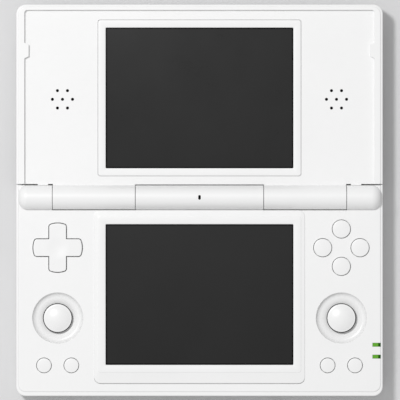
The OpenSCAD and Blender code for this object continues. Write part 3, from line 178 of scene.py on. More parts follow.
def cross(half, arm, bow, corner, inset=0.0):
    """The outline of a cross with bowed arm ends, drawn in by an inset: along each arm its straight side, a
    corner arc that touches both the side and the bow, and the bow, turned by each quarter turn."""
    half, arm, bow, corner = half - inset, arm - inset, bow - inset, corner - inset
    bow_x = half - bow
    touch = math.asin((arm - corner) / (bow - corner))
    corner_x = bow_x + (bow - corner) * math.cos(touch)
    a = np.linspace(0, math.pi / 2 - touch, 8)
    b = np.linspace(-touch, touch, 15)[1:-1]
    side = np.linspace(arm, corner_x, 9)[1:-1]
    outline = np.vstack([
        np.stack([side, np.full_like(side, -arm)], -1),
        np.stack([corner_x + corner * np.sin(a), corner - arm - corner * np.cos(a)], -1),
        np.stack([bow_x + bow * np.cos(b), bow * np.sin(b)], -1),
        np.stack([corner_x + corner * np.sin(a[::-1]), arm - corner + corner * np.cos(a[::-1])], -1),
        np.stack([side[::-1], np.full_like(side, arm)], -1),
        [[arm, arm]],
    ])
    turns = np.radians([0, 90, 180, 270])
    spun = [outline @ np.array([[np.cos(t), np.sin(t)], [-np.sin(t), np.cos(t)]]) for t in turns]
    return np.vstack(spun)


def at_height(outline, z):
    """An outline in the plane as a ring at one height, or at each of its points' heights."""
    return np.column_stack([outline, np.broadcast_to(z, len(outline))])


def round_over(inset, z, radius, steps=6, start=0.0, end=90.0):
    """Profile points (inset, height) of a rounded top edge: a quarter circle from the wall to the top."""
    t = np.radians(np.linspace(start, end, steps))
    return np.stack([inset + radius * (1 - np.cos(t)), z - radius * (1 - np.sin(t))], -1)


def revolve(profile, x, y, around=96):
    """Rings of a profile of (radius, height) turned about an upright axis at x, y."""
    profile = np.asarray(profile, float)
    t = np.linspace(0, 2 * math.pi, around, endpoint=False)
    rings = np.empty((len(profile), around, 3))
    rings[..., 0] = x + profile[:, :1] * np.cos(t)
    rings[..., 1] = y + profile[:, :1] * np.sin(t)
    rings[..., 2] = profile[:, 1:]
    return rings


def tiers(box, radius, profile):
    """Rings of a rounded rectangle, one for each (inset, height) of a profile."""
    return [at_height(rectangle(box, radius, inset), z) for inset, z in profile]


def slab(box, radius, z, edge):
    """A closed slab on a rounded rectangle, with its top and bottom edges rounded over."""
    low = round_over(0, -z[0], edge)[::-1] * [1, -1]
    return skin(tiers(box, radius, [*low, *round_over(0, z[1], edge)]))


def smooth_rise(x, low, high):
    """Rises smoothly from 0 at low to 1 at high: three times the square less twice the cube."""
    t = np.clip((x - low) / (high - low), 0, 1)
    return t * t * (3 - 2 * t)


# ---------------------------------------------------------------- materials


class Finish:
    """A material's node tree with one Principled shader, built up node by node on Object coordinates."""

    def __init__(self, name, **shader_values):
        self.material = bpy.data.materials.new(name)
        self.material.use_nodes = True
        self.tree = self.material.node_tree
        self.tree.nodes.clear()
        self.shader = self.add("BsdfPrincipled")
        output = self.add("OutputMaterial")
        self.tree.links.new(self.shader.outputs[0], output.inputs["Surface"])
        self.coordinates = self.add("TexCoord").outputs["Object"]
        for socket, value in shader_values.items():
            self.shader.inputs[socket.replace("_", " ")].default_value = value

    def add(self, kind, inputs=None, **settings):
        """One node of a kind, with its settings and with its sockets linked or set."""
        node = self.tree.nodes.new("ShaderNode" + kind)
        for key, value in settings.items():
            setattr(node, key, value)
        for key, value in (inputs or {}).items():
            if isinstance(value, bpy.types.NodeSocket):
                self.tree.links.new(value, node.inputs[key])
            else:
                node.inputs[key].default_value = value
        return node

    def math(self, operation, a, b=0.0):
        """The result of one sum on two values or sockets."""
        return self.add("Math", {0: a, 1: b}, operation=operation).outputs[0]

    def noise(self, scale, detail=3.0, roughness=0.55, stretch=None):
        """Cloudy noise, scale in features per metre, stretched along an axis if asked."""
        vector = self.coordinates
        if stretch:
            vector = self.add("Mapping", {"Vector": vector, "Scale": stretch}).outputs[0]
        return self.add("TexNoise", {"Vector": vector, "Scale": scale, "Detail": detail,
                                     "Roughness": roughness}).outputs["Fac"]

    def spread(self, value, low, high, start=0.3, end=0.7):
        """The value's range from start to end stretched to low to high."""
        return self.add("MapRange", {"Value": value, "From Min": start, "From Max": end,
                                     "To Min": low, "To Max": high}).outputs[0]

    def blend(self, factor, a, b):
        """Two colours mixed by a factor."""
        node = self.add("Mix", data_type="RGBA")
        for index, value in ((0, factor), (6, a), (7, b)):
            if isinstance(value, bpy.types.NodeSocket):
                self.tree.links.new(value, node.inputs[index])
            else:
                node.inputs[index].default_value = value
        return node.outputs[2]

    def axes(self):
        """The three Object coordinates by themselves, in metres."""
        return self.add("SeparateXYZ", {0: self.coordinates}).outputs

    def set(self, socket, source):
        """Links a varying value or colour to the shader."""
        self.tree.links.new(source, self.shader.inputs[socket])

    def relief(self, height, depth, strength, bevel=0.0):
        """Bumps the surface by a height of up to a depth, over edges softened by a bevel radius where one is
        given, both in millimetres."""
        inputs = {"Height": height, "Distance": depth * MM, "Strength": strength}
        if bevel:
            inputs["Normal"] = self.add("Bevel", {"Radius": bevel * MM}, samples=6).outputs[0]
        self.set("Normal", self.add("Bump", inputs).outputs[0])


def solid(colour, factor=1.0):
    """A colour with an alpha of one, its channels scaled by a factor."""
    return tuple(min(max(c * factor, 0.0), 1.0) for c in list(colour)[:3]) + (1.0,)


def moulded(name, colour, roughness, grain=0.004, tone=0.975, coat=0.0, bevel=0.0):
    """Moulded plastic: a faint cloudy tone and gloss, and a fine eroded grain. The tone is what its darkest
    clouds multiply the colour by; the grain and the bevel of its edges are in millimetres."""
    f = Finish(name, IOR=1.5, Coat_Weight=coat, Coat_Roughness=0.12)
    clouds = f.noise(38.0, 4.0)
    f.set("Base Color", f.blend(f.spread(clouds, 0.0, 1.0), solid(colour, tone), solid(colour)))
    f.set("Roughness", f.spread(f.noise(420.0, 2.0), roughness * 0.9, roughness * 1.12))
    f.relief(f.noise(5200.0, 2.0), grain, 0.6, bevel)
    return f.material


def rubbery(name, colour, roughness=0.75, sheen=0.15, gloss=0.5):
    """Rubber: matte, slightly uneven, with a fine pebbled skin. Foam has neither sheen nor gloss."""
    f = Finish(name, IOR=1.45, Sheen_Weight=sheen, Sheen_Roughness=0.5, Specular_IOR_Level=gloss)
    f.set("Base Color", f.blend(f.noise(900.0), solid(colour, 0.85), solid(colour, 1.1)))
    f.set("Roughness", f.spread(f.noise(300.0), roughness - 0.06, roughness + 0.08))
    f.relief(f.noise(2600.0), 0.02, 0.7)
    return f.material


def metal(name, colour):
    """Drawn metal: streaks, thin along y, in tone, gloss and relief."""
    f = Finish(name, Metallic=1.0, Anisotropic=0.35)
    streaks = f.noise(160.0, 5.0, 0.65, stretch=(1.0, 60.0, 1.0))
    f.set("Base Color", f.blend(streaks, solid(colour, 0.82), solid(colour, 1.12)))
    f.set("Roughness", f.spread(streaks, 0.25, 0.42))
    f.relief(streaks, 0.003, 0.5)
    return f.material


def screen(name, colour, edge_colour, node, border, roughness):
    """A dark window: plain in the middle, near black along a narrow border, with a faint smudged gloss. The
    border is where the larger of the distances past the two pairs of sides is above zero."""
    blur = 0.08 * MM
    low, high = span(node)
    f = Finish(name, IOR=1.46, Specular_IOR_Level=0.1)
    x, y, _ = f.axes()
    reach = []
    for axis, a, b in ((x, low[0], high[0]), (y, low[1], high[1])):
        centre, half = (a + b) / 2 * MM, (b - a) / 2 * MM - border
        reach.append(f.math("SUBTRACT", f.math("ABSOLUTE", f.math("SUBTRACT", axis, centre)), half))
    mask = f.spread(f.math("MAXIMUM", *reach), 0.0, 1.0, -blur, blur)
    clouds = f.spread(f.noise(30.0, 4.0), 0.0, 1.0)
    plain = f.blend(clouds, solid(colour, 0.96), solid(colour, 1.04))
    f.set("Base Color", f.blend(mask, plain, solid(edge_colour)))
    f.set("Roughness", f.spread(f.noise(55.0, 5.0, 0.7), roughness * 0.85, roughness * 1.2))
    f.relief(f.noise(1500.0, 2.0), 0.001, 0.3)
    return f.material


def light_guide(name, colour, dark, side):
    """Tinted clear plastic with painted shade towards its outer side, along a slightly uneven line: the dark
    colour stands in for the shade where the guide's face turns down over the edge.
    """
    # painted shade: over a narrow band at the outer end the tint turns to the dark colour, where the face
    # turns down over the edge
    shade_from, shade_at, uneven = side - 0.85 * MM, side - 0.7 * MM, 0.3 * MM
    f = Finish(name, IOR=1.49, Specular_IOR_Level=0.12)
    x, _, _ = f.axes()
    shifted = f.math("ADD", x, f.math("MULTIPLY", f.noise(700.0), uneven))
    outer = f.spread(shifted, 0.0, 1.0, shade_from, shade_at)
    f.set("Base Color", f.blend(outer, solid(colour), solid(dark)))
    f.set("Roughness", f.spread(f.noise(600.0), 0.22, 0.34))
    f.relief(f.noise(2400.0), 0.004, 0.4)
    return f.material


def circuit(name, colour):
    """A solder-masked board: darker paths in fine bands, and tinned dots."""
    f = Finish(name, IOR=1.5, Coat_Weight=0.3, Coat_Roughness=0.2)
    paths = {"Vector": f.coordinates, "Scale": 260.0, "Distortion": 9.0, "Detail": 2.0, "Detail Scale": 1.5}
    bands = f.add("TexWave", paths, wave_type="BANDS", bands_direction="DIAGONAL").outputs["Fac"]
    dots = f.add("TexVoronoi", {"Vector": f.coordinates, "Scale": 480.0, "Randomness": 0.35})
    pads = f.spread(dots.outputs["Distance"], 1.0, 0.0, 0.16, 0.2)
    green = f.blend(f.spread(bands, 0.0, 1.0, 0.4, 0.6), solid(colour, 0.7), solid(colour, 1.25))
    f.set("Base Color", f.blend(pads, green, (0.62, 0.6, 0.5, 1.0)))
    f.set("Roughness", f.spread(bands, 0.35, 0.5))
    f.relief(bands, 0.01, 0.5)
    return f.material


def gauze(name, colour):
    """Fine woven gauze: two crossed sets of threads, each as high as a wave, with dark gaps between them."""
    f = Finish(name, IOR=1.45, Specular_IOR_Level=0.0)
    threads = []
    for direction in ("X", "Y"):
        threads.append(f.add("TexWave", {"Vector": f.coordinates, "Scale": 950.0, "Distortion": 0.4},
                             wave_type="BANDS", bands_direction=direction).outputs["Fac"])
    weave = f.math("MAXIMUM", *threads)
    f.set("Base Color", f.blend(f.spread(weave, 0.0, 1.0, 0.35, 0.8), solid(colour, 0.3), solid(colour, 1.5)))
    f.set("Roughness", f.spread(weave, 0.9, 0.6))
    f.relief(weave, 0.04, 0.8)
    return f.material


def wrapped(name, colour):
    """A cell in shrunk film: brushed tone under long shallow wrinkles."""
    f = Finish(name, Metallic=0.6, IOR=1.5)
    wrinkles = f.noise(90.0, 4.0, 0.6, (1.0, 3.0, 1.0))
    f.set("Base Color", f.blend(wrinkles, solid(colour, 0.85), solid(colour, 1.1)))
    f.set("Roughness", f.spread(wrinkles, 0.3, 0.5))
    f.relief(wrinkles, 0.08, 0.6)
    return f.material


# ---------------------------------------------------------------- sizes and colours


def length(label, text, default):
    """A size that a user may change, in metres, given here in millimetres."""
    return FloatProperty(name=label, description=text, default=default * MM, min=0.0, unit="LENGTH",
                         precision=6)


def colour(label, text, default):
    """A colour that a user may change."""
    return FloatVectorProperty(name=label, description=text, default=default, size=3, min=0.0, max=1.0,
                               subtype="COLOR")


class ConsoleSizes(bpy.types.PropertyGroup):
    """Sizes of the smooth pieces that aren't read from the frame."""

    pad_arm: length("Pad arm", "Half the width of an arm of the directional pad", 3.1)
    pad_bow: length("Pad bow", "Radius of the bowed ends of the directional pad", 7.5)
    pad_corner: length("Pad corner", "Radius of the corners of the directional pad", 0.95)
    pad_edge: length("Pad edge", "Rounding of the upper edge of the directional pad", 0.25)
    pad_lip_height: length("Pad lip height", "Thickness of the lip of the directional pad", 0.6)
    pad_dimple: length("Pad dimple", "Depth of the hollow in the middle of the directional pad", 0.22)
    lip: length("Lip", "How far the lip of a control reaches under the face", 0.85)
    lip_height: length("Lip height", "Thickness of the lip of a round button", 0.7)
    button_shrink: length("Button gap", "Extra gap round each round button", 0.1)
    button_edge: length("Button edge", "Rounding of the upper edge of the round buttons", 0.16)
    button_dome: length("Button dome", "Radius of the domed top of the round buttons", 30.0)
    cap_diameter: length("Cap diameter", "Diameter of the circle pad caps over their dark ring", 10.8)
    # painted shade: the dark ring stands in for the shaded gap round the foot of a cap
    cap_ring: length("Cap ring", "Width of the dark ring round the foot of a cap", 0.27)
    cap_rim: length("Cap rim", "Width of the flat rim round the dome of a cap", 0.4)
    cap_dome: length("Cap dome", "Height of the dome of a cap over its rim", 1.06)
    cap_under: length("Cap underside", "How far the underside of a cap lies under the face", 0.35)
    dish_wall: length("Dish wall", "Width of the curved wall of a dish", 1.7)
    dish_depth: length("Dish depth", "How far the floor of a dish lies under the face", 1.6)
    dish_flange: length("Dish flange", "How far the flange of a dish reaches under the face", 0.9)
    face_wall: length("Face wall", "Thickness of the top shell over the flanges of the dishes", 1.4)
    stem: length("Stem", "Radius of the stem of a cap", 2.4)
    opening: length("Opening", "Radius of the opening of a dish", 4.813)
    speaker_hole: length("Speaker hole", "Diameter of a speaker hole", 1.1)
    speaker_pitch: length("Speaker pitch", "Distance from the middle speaker hole to the others", 3.67)
    # painted shade: the gauze's rise into the holes fills them with near black
    hole_shade_rise: length("Gauze rise", "How far the speaker gauze bulges into the holes", 0.8)
    # painted shade: the foam's near black also stands for the shade in the slot
    mic_width: length("Foam width", "Width of the foam in the microphone slot", 0.86)
    mic_length: length("Foam length", "Length of the foam in the microphone slot", 1.64)
    frame_edge: length("Frame edge", "Rounding of the raised frame of the lower screen", 0.26)
    frame_border: length("Frame border", "Width of the raised border round the lower window", 2.8)
    frame_step: length("Frame step", "Height of that border over its frame", 0.15)
    screen_lap: length("Screen lap", "How far a frame laps over its window", 1.5)
    screen_fit: length("Screen fit", "Gap between a window and its frame", 0.1)
    screen_rib: length("Screen rib", "Width of the rib round the touch panel", 1.0)
    screen_border: length("Screen border", "Width of the black border inside each window", 0.5)
    knob_ridge: length("Knob ridge", "Depth of the ridges on the sliders", 0.14)
    knob_bar: length("Knob bar", "Thickness of the ridged bar of a slider", 0.4)
    knob_plate: length("Knob plate", "Thickness of the plate of a slider behind the wall", 0.6)
    rubber_foot: length("Rubber foot", "Radius of a rubber foot", 3.5)
    screw_recess: length("Screw recess", "Depth of the cross in the screw heads", 0.5)
    screw_head: length("Screw head", "Radius of the heads of the six screws", 1.8)
    screw_head_height: length("Screw head height", "Height of the heads of the six screws", 1.2)
    cover_head_height: length("Cover head height", "Height of the head of the battery cover's screw", 0.4)
    screw_shaft: length("Screw shaft", "Radius of the shafts of the screws", 0.95)
    screw_across: length("Screws across", "How far the inner screws are from the middle", 39.3)
    screw_rear: length("Rear screws", "How far the rear screws are behind the front ones", 48.0)
    screw_side: length("Side screws", "How far the side screws are behind the front ones", 34.0)
    foot_inner: length("Foot inner side", "How far from the side the foot of an end knuckle starts", 4.1)
    foot_outer: length("Foot outer side", "How far from the side the foot of an end knuckle ends", 1.65)
    foot_depth: length("Foot depth", "How deep the foot of an end knuckle is, from its rear face", 8.6)
    foot_drop: length("Foot drop", "How far the foot of an end knuckle lies under the barrel's top", 5.83)
    foot_gap: length("Foot gap", "Gap between the foot of an end knuckle and the shoulder button", 0.27)
    shell_edge: length("Shell edge", "Radius at which the shells' sharp edges catch the light", 0.16)
    knob_ridges: IntProperty(name="Knob ridges", description="Number of ridges on a slider", default=5, min=1)


def place(label, text, default):
    """A place that a user may change, in metres."""
    return FloatVectorProperty(name=label, description=text, default=default, size=3, subtype="XYZ",
                               unit="LENGTH")


def power(label, text, default):
    """A lamp's power that a user may change, in watts."""
    return FloatProperty(name=label, description=text, default=default, min=0.0, unit="POWER")


class ConsoleStage(bpy.types.PropertyGroup):
    """Light and view of the stage."""

    room: FloatProperty(name="Room", description="Strength of the white room", default=0.52, min=0.0)
    key_place: place("Key place", "Where the small bright lamp is", (-0.42, 0.42, 1.25))
    key_size: length("Key size", "Diameter of the small bright lamp", 200.0)
    key_power: power("Key power", "Power of the small bright lamp", 9.4)
    fill_place: place("Fill place", "Where the large soft lamp is", (-0.7, -1.1, 0.9))
    fill_size: length("Fill size", "Diameter of the large soft lamp", 900.0)
    fill_power: power("Fill power", "Power of the large soft lamp", 1.4)
    view_width: length("View width", "Width of the view at the height of the face", 146.2)
    view_right: length("View right", "How far right of the middle the view is centred", 0.18)
    view_back: length("View back", "How far behind the middle the view is centred", 0.1)
    floor_half: length("Floor", "Half the width of the floor", 7000.0)


class ConsoleColours(bpy.types.PropertyGroup):
    """Colours of the finishes."""

    shell: colour("Shell", "White of the shells", (0.90, 0.90, 0.90))
    bezel: colour("Bezel", "White of the frames round the screens", (0.90, 0.90, 0.90))
    control: colour("Control", "White of the pads and buttons", (0.90, 0.90, 0.90))
    upper_window: colour("Upper window", "Dark grey of the upper window", (0.027, 0.027, 0.027))
    lower_window: colour("Lower window", "Dark grey of the touch panel", (0.023, 0.023, 0.023))
    window_edge: colour("Window edge", "Border inside the windows", (0.0008, 0.0008, 0.0008))
    light: colour("Light", "Green of the indicator lights", (0.13, 0.39, 0.035))
    # painted shade at the outer end of each light guide, where its face turns down over the edge
    light_edge_shade: colour("Light end", "Dark end of the indicator lights", (0.012, 0.09, 0.002))
    # painted shade: near black, so that the gap round each cap reads dark under any lamp
    ring: colour("Ring", "Dark rubber round the foot of the caps", (0.03, 0.03, 0.03))
    rubber: colour("Rubber", "Grey of the feet", (0.25, 0.25, 0.255))
    steel: colour("Steel", "Plain steel", (0.56, 0.57, 0.58))
    black: colour("Black", "Connectors and chips", (0.022, 0.022, 0.024))
    board: colour("Board", "Solder mask", (0.02, 0.12, 0.055))
    copper: colour("Copper", "The foil of the display cable", (0.5, 0.22, 0.06))
    acetal: colour("Acetal", "The ball of the pad and the bush of the hinge", (0.8, 0.8, 0.78))
    display: colour("Display", "The unlit displays", (0.006, 0.006, 0.007))
    # near black; where the gauze rises into the holes it also paints their shade
    speaker: colour("Speaker", "The gauze behind the speaker holes", (0.006, 0.006, 0.006))
    # near black; it also paints the shade in the microphone slot
    foam: colour("Foam", "The foam in the microphone slot", (0.005, 0.005, 0.005))
    cell: colour("Cell", "The film round the battery", (0.3, 0.31, 0.33))
    silicone: colour("Silicone", "The membranes under the buttons", (0.6, 0.6, 0.6))
    floor: colour("Floor", "The floor that the console lies on", (0.70, 0.70, 0.705))


def sizes(name):
    """One of the sizes in millimetres."""
    return getattr(bpy.context.scene.console_sizes, name) / MM


def colours(name):
    """One of the colours."""
    return tuple(getattr(bpy.context.scene.console_colours, name))


def shared(build, name, *looks, **more):
    """A material that is built once and used by several operators."""
    return bpy.data.materials.get(name) or build(name, *looks, **more)


def control_plastic():
    """The satin plastic of the pads and buttons."""
    return shared(moulded, "control_plastic", colours("control"), 0.3, grain=0.002)


def steel():
    """Plain drawn steel."""
    return shared(metal, "drawn_steel", colours("steel"))


def black_plastic():
    """Matte black moulding."""
    return shared(moulded, "black_moulding", colours("black"), 0.5, grain=0.008, tone=0.8)


# ---------------------------------------------------------------- operators


class CONSOLE_OT_shells(bpy.types.Operator):
    """Finishes the shells and covers in moulded plastic and builds the feet of the end knuckles"""

    bl_idname = "console.shells"
    bl_label = "Shells"

    def execute(self, context):
        edge = sizes("shell_edge")
        satin = moulded("shell_plastic", colours("shell"), 0.36, grain=0.005, tone=0.985, bevel=edge)
        paint(satin, "bottom_shell", "top_shell", "hinge_centre_cover", "lid_inner_shell", "lid_outer_shell",
              "battery_cover")
        trigger = moulded("trigger_plastic", colours("control"), 0.3, grain=0.003, tone=0.97, bevel=edge)
        paint(trigger, "shoulder_button_left", "shoulder_button_right")

        # the foot of each end knuckle, between its round end and the side wall, over the shoulder button
        side = span("bottom_shell")[1][0]
        _, rear, top = span("top_shell")[1]
        inner, outer = side - sizes("foot_inner"), side - sizes("foot_outer")
        front = rear - sizes("foot_depth")
        heights = (span("shoulder_button_left")[1][2] + sizes("foot_gap"), top - sizes("foot_drop"))
        feet = [slab((x_low, x_high, front, rear), 0.1, heights, 0.08)
                for x_low, x_high in ((-outer, -inner), (inner, outer))]
        dress(piece("knuckle_feet", feet), "base", satin, "white_shell")
        return {"FINISHED"}


def window_rim(window, top, glass):
    """Rings over the rounded rim of a window, from the top of its frame down to its glass."""
    rim = [[-0.3, top], [-0.18, top - 0.03], [-0.08, top - 0.1], [0, top - 0.22]]
    return tiers(window, 0.3, [*rim, [0, glass]])


class CONSOLE_OT_screens(bpy.types.Operator):
    """Builds both screen frames and both dark windows"""

    bl_idname = "console.screens"
    bl_label = "Screens"

    def execute(self, context):
        plastic = moulded("bezel_plastic", colours("bezel"), 0.32, grain=0.003)
        lap, fit, rib = sizes("screen_lap"), sizes("screen_fit"), sizes("screen_rib")
        frame_r, border_r, seat_r, rib_r = 2.3, 0.9, 0.5, 1.0

        low, high = span("lower_screen_frame")
        face, under, top, glass = face_height(), low[2], high[2], span("touch_panel")[1][2]
        step = top - sizes("frame_step")
        border = footprint("touch_panel", sizes("frame_border") - lap)
        rings = tiers(footprint("lower_screen_frame"), frame_r,
                      [[0, face], *round_over(0, step, sizes("frame_edge"))])
        rings += tiers(border, border_r, [[-0.12, step], [-0.02, step + 0.02], *round_over(0, top, 0.1)])
        rings += window_rim(footprint("touch_panel", -lap), top, glass)
        rings += tiers(footprint("touch_panel", fit), seat_r, [[0, glass], [0, under]])
        rings += tiers(footprint("touch_panel", rib), rib_r, [[0, under], [0, face]])
        dress(piece("lower_frame", [skin(rings, "loop", "loop")]), "base", plastic, "white_bezel",
              "lower_screen_frame")

        low, high = span("upper_lens_frame")
        under, top, glass = low[2], high[2], span("upper_lens")[1][2]
        rings = tiers(footprint("upper_lens_frame"), border_r, [[0, under], *round_over(0, top, 0.2)])
        rings += window_rim(footprint("upper_lens", -lap), top, glass)
        rings += tiers(footprint("upper_lens", fit), seat_r, [[0, glass], [0, under]])
        dress(piece("upper_frame", [skin(rings, "loop", "loop")]), "lid", plastic, "white_bezel",
              "upper_lens_frame")

        for name, node, body, tint, roughness, slot in (
            ("touch_window", "touch_panel", "base", "lower_window", 0.42, "touch_film"),
            ("lens_window", "upper_lens", "lid", "upper_window", 0.3, "clear_lens"),
        ):
            low, high = span(node)
            obj = piece(name, [slab(footprint(node), 0.4, (low[2], high[2]), 0.08)])
            finish = screen(name + "_film", colours(tint), colours("window_edge"), node,
                            (lap + sizes("screen_border")) * MM, roughness)
            dress(obj, body, finish, slot, node)
        return {"FINISHED"}


class CONSOLE_OT_pad(bpy.types.Operator):
    """Builds the directional pad with its lip, rounded edge, hollowed middle and ball socket"""

    bl_idname = "console.directional_pad"
    bl_label = "Directional pad"

    def execute(self, context):
        low, high = span("dpad")
        under, top = low[2], high[2]
        lip, edge, dimple = sizes("lip"), sizes("pad_edge"), sizes("pad_dimple")
        lip_top, trim, slack, flat_r, hollow_r = under + sizes("pad_lip_height"), 0.08, 0.05, 0.2, 4.6
        half = (high[0] - low[0]) / 2 - lip

        def outline(inset):
            return cross(half, sizes("pad_arm"), sizes("pad_bow"), sizes("pad_corner"), inset)

        # the socket: a hollow half ball with the outline's points spread round it
        base = outline(-lip)
        bearing = np.arctan2(base[:, 1], base[:, 0])
        ball = np.stack([np.cos(bearing), np.sin(bearing)], -1)
        ball_low, ball_high = span("dpad_pivot")
        socket = (ball_high[2] - ball_low[2]) / 2 + slack
        rings = [at_height(ball * socket * math.sin(a), under + socket * math.cos(a))
                 for a in np.radians(np.linspace(8, 90, 8))]
        foot = [[trim - lip, under], [-lip, under + trim], [-lip, lip_top - trim], [trim - lip, lip_top]]
        wall = [[0, lip_top], *round_over(0, top, edge, 8)]
        rings += [at_height(outline(inset), z) for inset, z in foot + wall]

        # the top: the outline drawn in to the middle, lower towards it
        crown = outline(edge)
        for share in np.linspace(0.94, 0.02, 22):
            flat = crown * share
            radius = np.hypot(flat[:, 0], flat[:, 1])
            rings.append(at_height(flat, top - dimple * (1 - smooth_rise(radius, flat_r, hollow_r))))
        rings = np.array(rings) + [*middle("dpad")[:2], 0]
        dress(piece("directional_pad", [skin(rings, "point", "point")]), "dpad", control_plastic(),
              "white_control", "dpad")
        paint(moulded("acetal_plastic", colours("acetal"), 0.45), "dpad_pivot", "hinge_bush_left")
        return {"FINISHED"}


def round_button(node):
    """The skin of a round button: its lip, its wall, a rounded edge and a domed top, where the dome's height
    at a radius is that of a sphere through the top."""
    low, high = span(node)
    x, y, _ = middle(node)
    lip, edge, dome, trim = sizes("lip"), sizes("button_edge"), sizes("button_dome"), 0.1
    under, lip_top, lip_r = low[2], low[2] + sizes("lip_height"), (high[0] - low[0]) / 2
    radius = lip_r - lip - sizes("button_shrink")
    crown = np.linspace(radius - edge, 0.05, 14)
    dome_z = high[2] - dome + np.sqrt(dome**2 - crown**2)
    wall = [[lip_r - trim, under], [lip_r, under + trim], [lip_r, lip_top - trim], [lip_r - trim, lip_top],
            [radius, lip_top]]
    over = round_over(0, dome_z[0], edge, 7, 0, 82) * [-1, 1] + [radius, 0]
    profile = np.vstack([wall, over, np.stack([crown, dome_z], -1)[1:]])
    return skin(revolve(profile, x, y), "flat", "point")


class CONSOLE_OT_buttons(bpy.types.Operator):
    """Builds the four face buttons and the four small buttons"""

    bl_idname = "console.buttons"
    bl_label = "Buttons"

    def execute(self, context):
        plastic = control_plastic()
        names = ["button_" + d for d in ("north", "east", "south", "west")]
        names += [f"small_button_{s}_{p}" for s in ("left", "right") for p in ("outer", "inner")]
        for node in names:
            key = piece(node.replace("button", "key"), [round_button(node)])
            dress(key, node, plastic, "white_control", node)
        return {"FINISHED"}


def dish_ring(node):
    """The skin of a dish: its flange under the face, a shadow line, and a bowl that is an arc through the rim
    and tangent to the floor, down to the rounded edge of its opening."""
    low, high = span(node)
    x, y, _ = middle(node)
    under, top, outer = low[2], high[2], (high[0] - low[0]) / 2
    opening, depth, reach = sizes("opening"), sizes("dish_depth"), sizes("dish_wall")
    floor, flange_top, edge = top - depth, top - sizes("face_wall"), outer - sizes("dish_flange")
    line, line_top, land = 0.1, top - 0.3, 0.02
    bend = (reach**2 + depth**2) / (2 * depth)
    t = np.linspace(0, math.asin(reach / bend), 18)
    bowl = np.stack([edge - land - reach + bend * np.sin(t), floor + bend * (1 - np.cos(t))], -1)[::-1]
    profile = np.vstack([
        [[opening, under], [outer, under], [outer, flange_top], [edge - line, flange_top],
         [edge - line, line_top - line], [edge, line_top], [edge, top]],
        bowl, [[opening + 0.12, floor], [opening + 0.03, floor - 0.04], [opening, floor - 0.13]]])
    return skin(revolve(profile, x, y, around=144), "loop", "loop")


def cap_skins(node):
    """The skins of a cap: its foot, which is a skirt over the carriage, a stem and a dark ring whose
    near-black colour paints the shade of the gap under the cap's rim, and its top, whose dome sinks from the
    middle by a power of the radius."""
    low, high = span(node)
    x, y, _ = middle(node)
    skirt, stem, cap_r = (high[0] - low[0]) / 2, sizes("stem"), sizes("cap_diameter") / 2
    skirt_low = span(node.replace("cap", "carriage"))[1][2] + 0.15
    skirt_top, under = skirt_low + 0.6, face_height() - sizes("cap_under")
    ring_top, ring_edge, crown_edge, lap = under + 0.24, 0.15, 0.16, 0.04
    foot = np.vstack([
        [[stem, low[2]], [stem, skirt_low], [skirt, skirt_low], [skirt, skirt_top], [stem, skirt_top],
         [stem, under], [cap_r - ring_edge, under]],
        round_over(0, ring_top, ring_edge) * [-1, 1] + [cap_r, 0], [[0.1, ring_top]]])
    crown, rise, fall = cap_r - sizes("cap_ring"), sizes("cap_dome"), 2.2
    dome_r, rim_z = crown - sizes("cap_rim"), high[2] - rise
    radii = np.linspace(dome_r, 0.08, 22)
    dome = high[2] - rise * (radii / dome_r) ** fall
    top = np.vstack([[[crown, ring_top - lap]], round_over(0, rim_z, crown_edge) * [-1, 1] + [crown, 0],
                     np.stack([radii, dome], -1)])
    return [skin(revolve(profile, x, y, around=128), "flat", "point") for profile in (foot, top)]


class CONSOLE_OT_circle_pads(bpy.types.Operator):
    """Builds the concave dishes and the domed caps of both circle pads"""

    bl_idname = "console.circle_pads"
    bl_label = "Circle pads"

    def execute(self, context):
        # the caps' feet are near-black rubber, which paints the shade of the gap round each cap
        plastic, rubber = control_plastic(), rubbery("cap_rubber", colours("ring"))
        for side in ("left", "right"):
            dish, cap = f"circle_pad_{side}_dish", f"circle_pad_{side}_cap"
            ring = piece(dish + "_ring", [dish_ring(dish)], sharp=40)
            dress(ring, "base", plastic, "white_control", dish)
            foot, top = cap_skins(cap)
            dress(piece(cap + "_foot", [foot], sharp=38), cap, rubber, "foot_rubber", cap)
            dress(piece(cap + "_top", [top], sharp=38), cap, plastic, "white_control", cap)
        paint(black_plastic(), "circle_pad_left_housing", "circle_pad_right_housing")
        paint(steel(), "circle_pad_left_carriage", "circle_pad_right_carriage")
        return {"FINISHED"}


class CONSOLE_OT_lights(bpy.types.Operator):
    """Tints the two light guides at the right edge of the face, with painted shade at their outer ends"""

    bl_idname = "console.lights"
    bl_label = "Indicator lights"

    def execute(self, context):
        _, high = span("indicator_lights")
        paint(light_guide("green_light_guide", colours("light"), colours("light_edge_shade"), high[0] * MM),
              "indicator_lights")
        return {"FINISHED"}


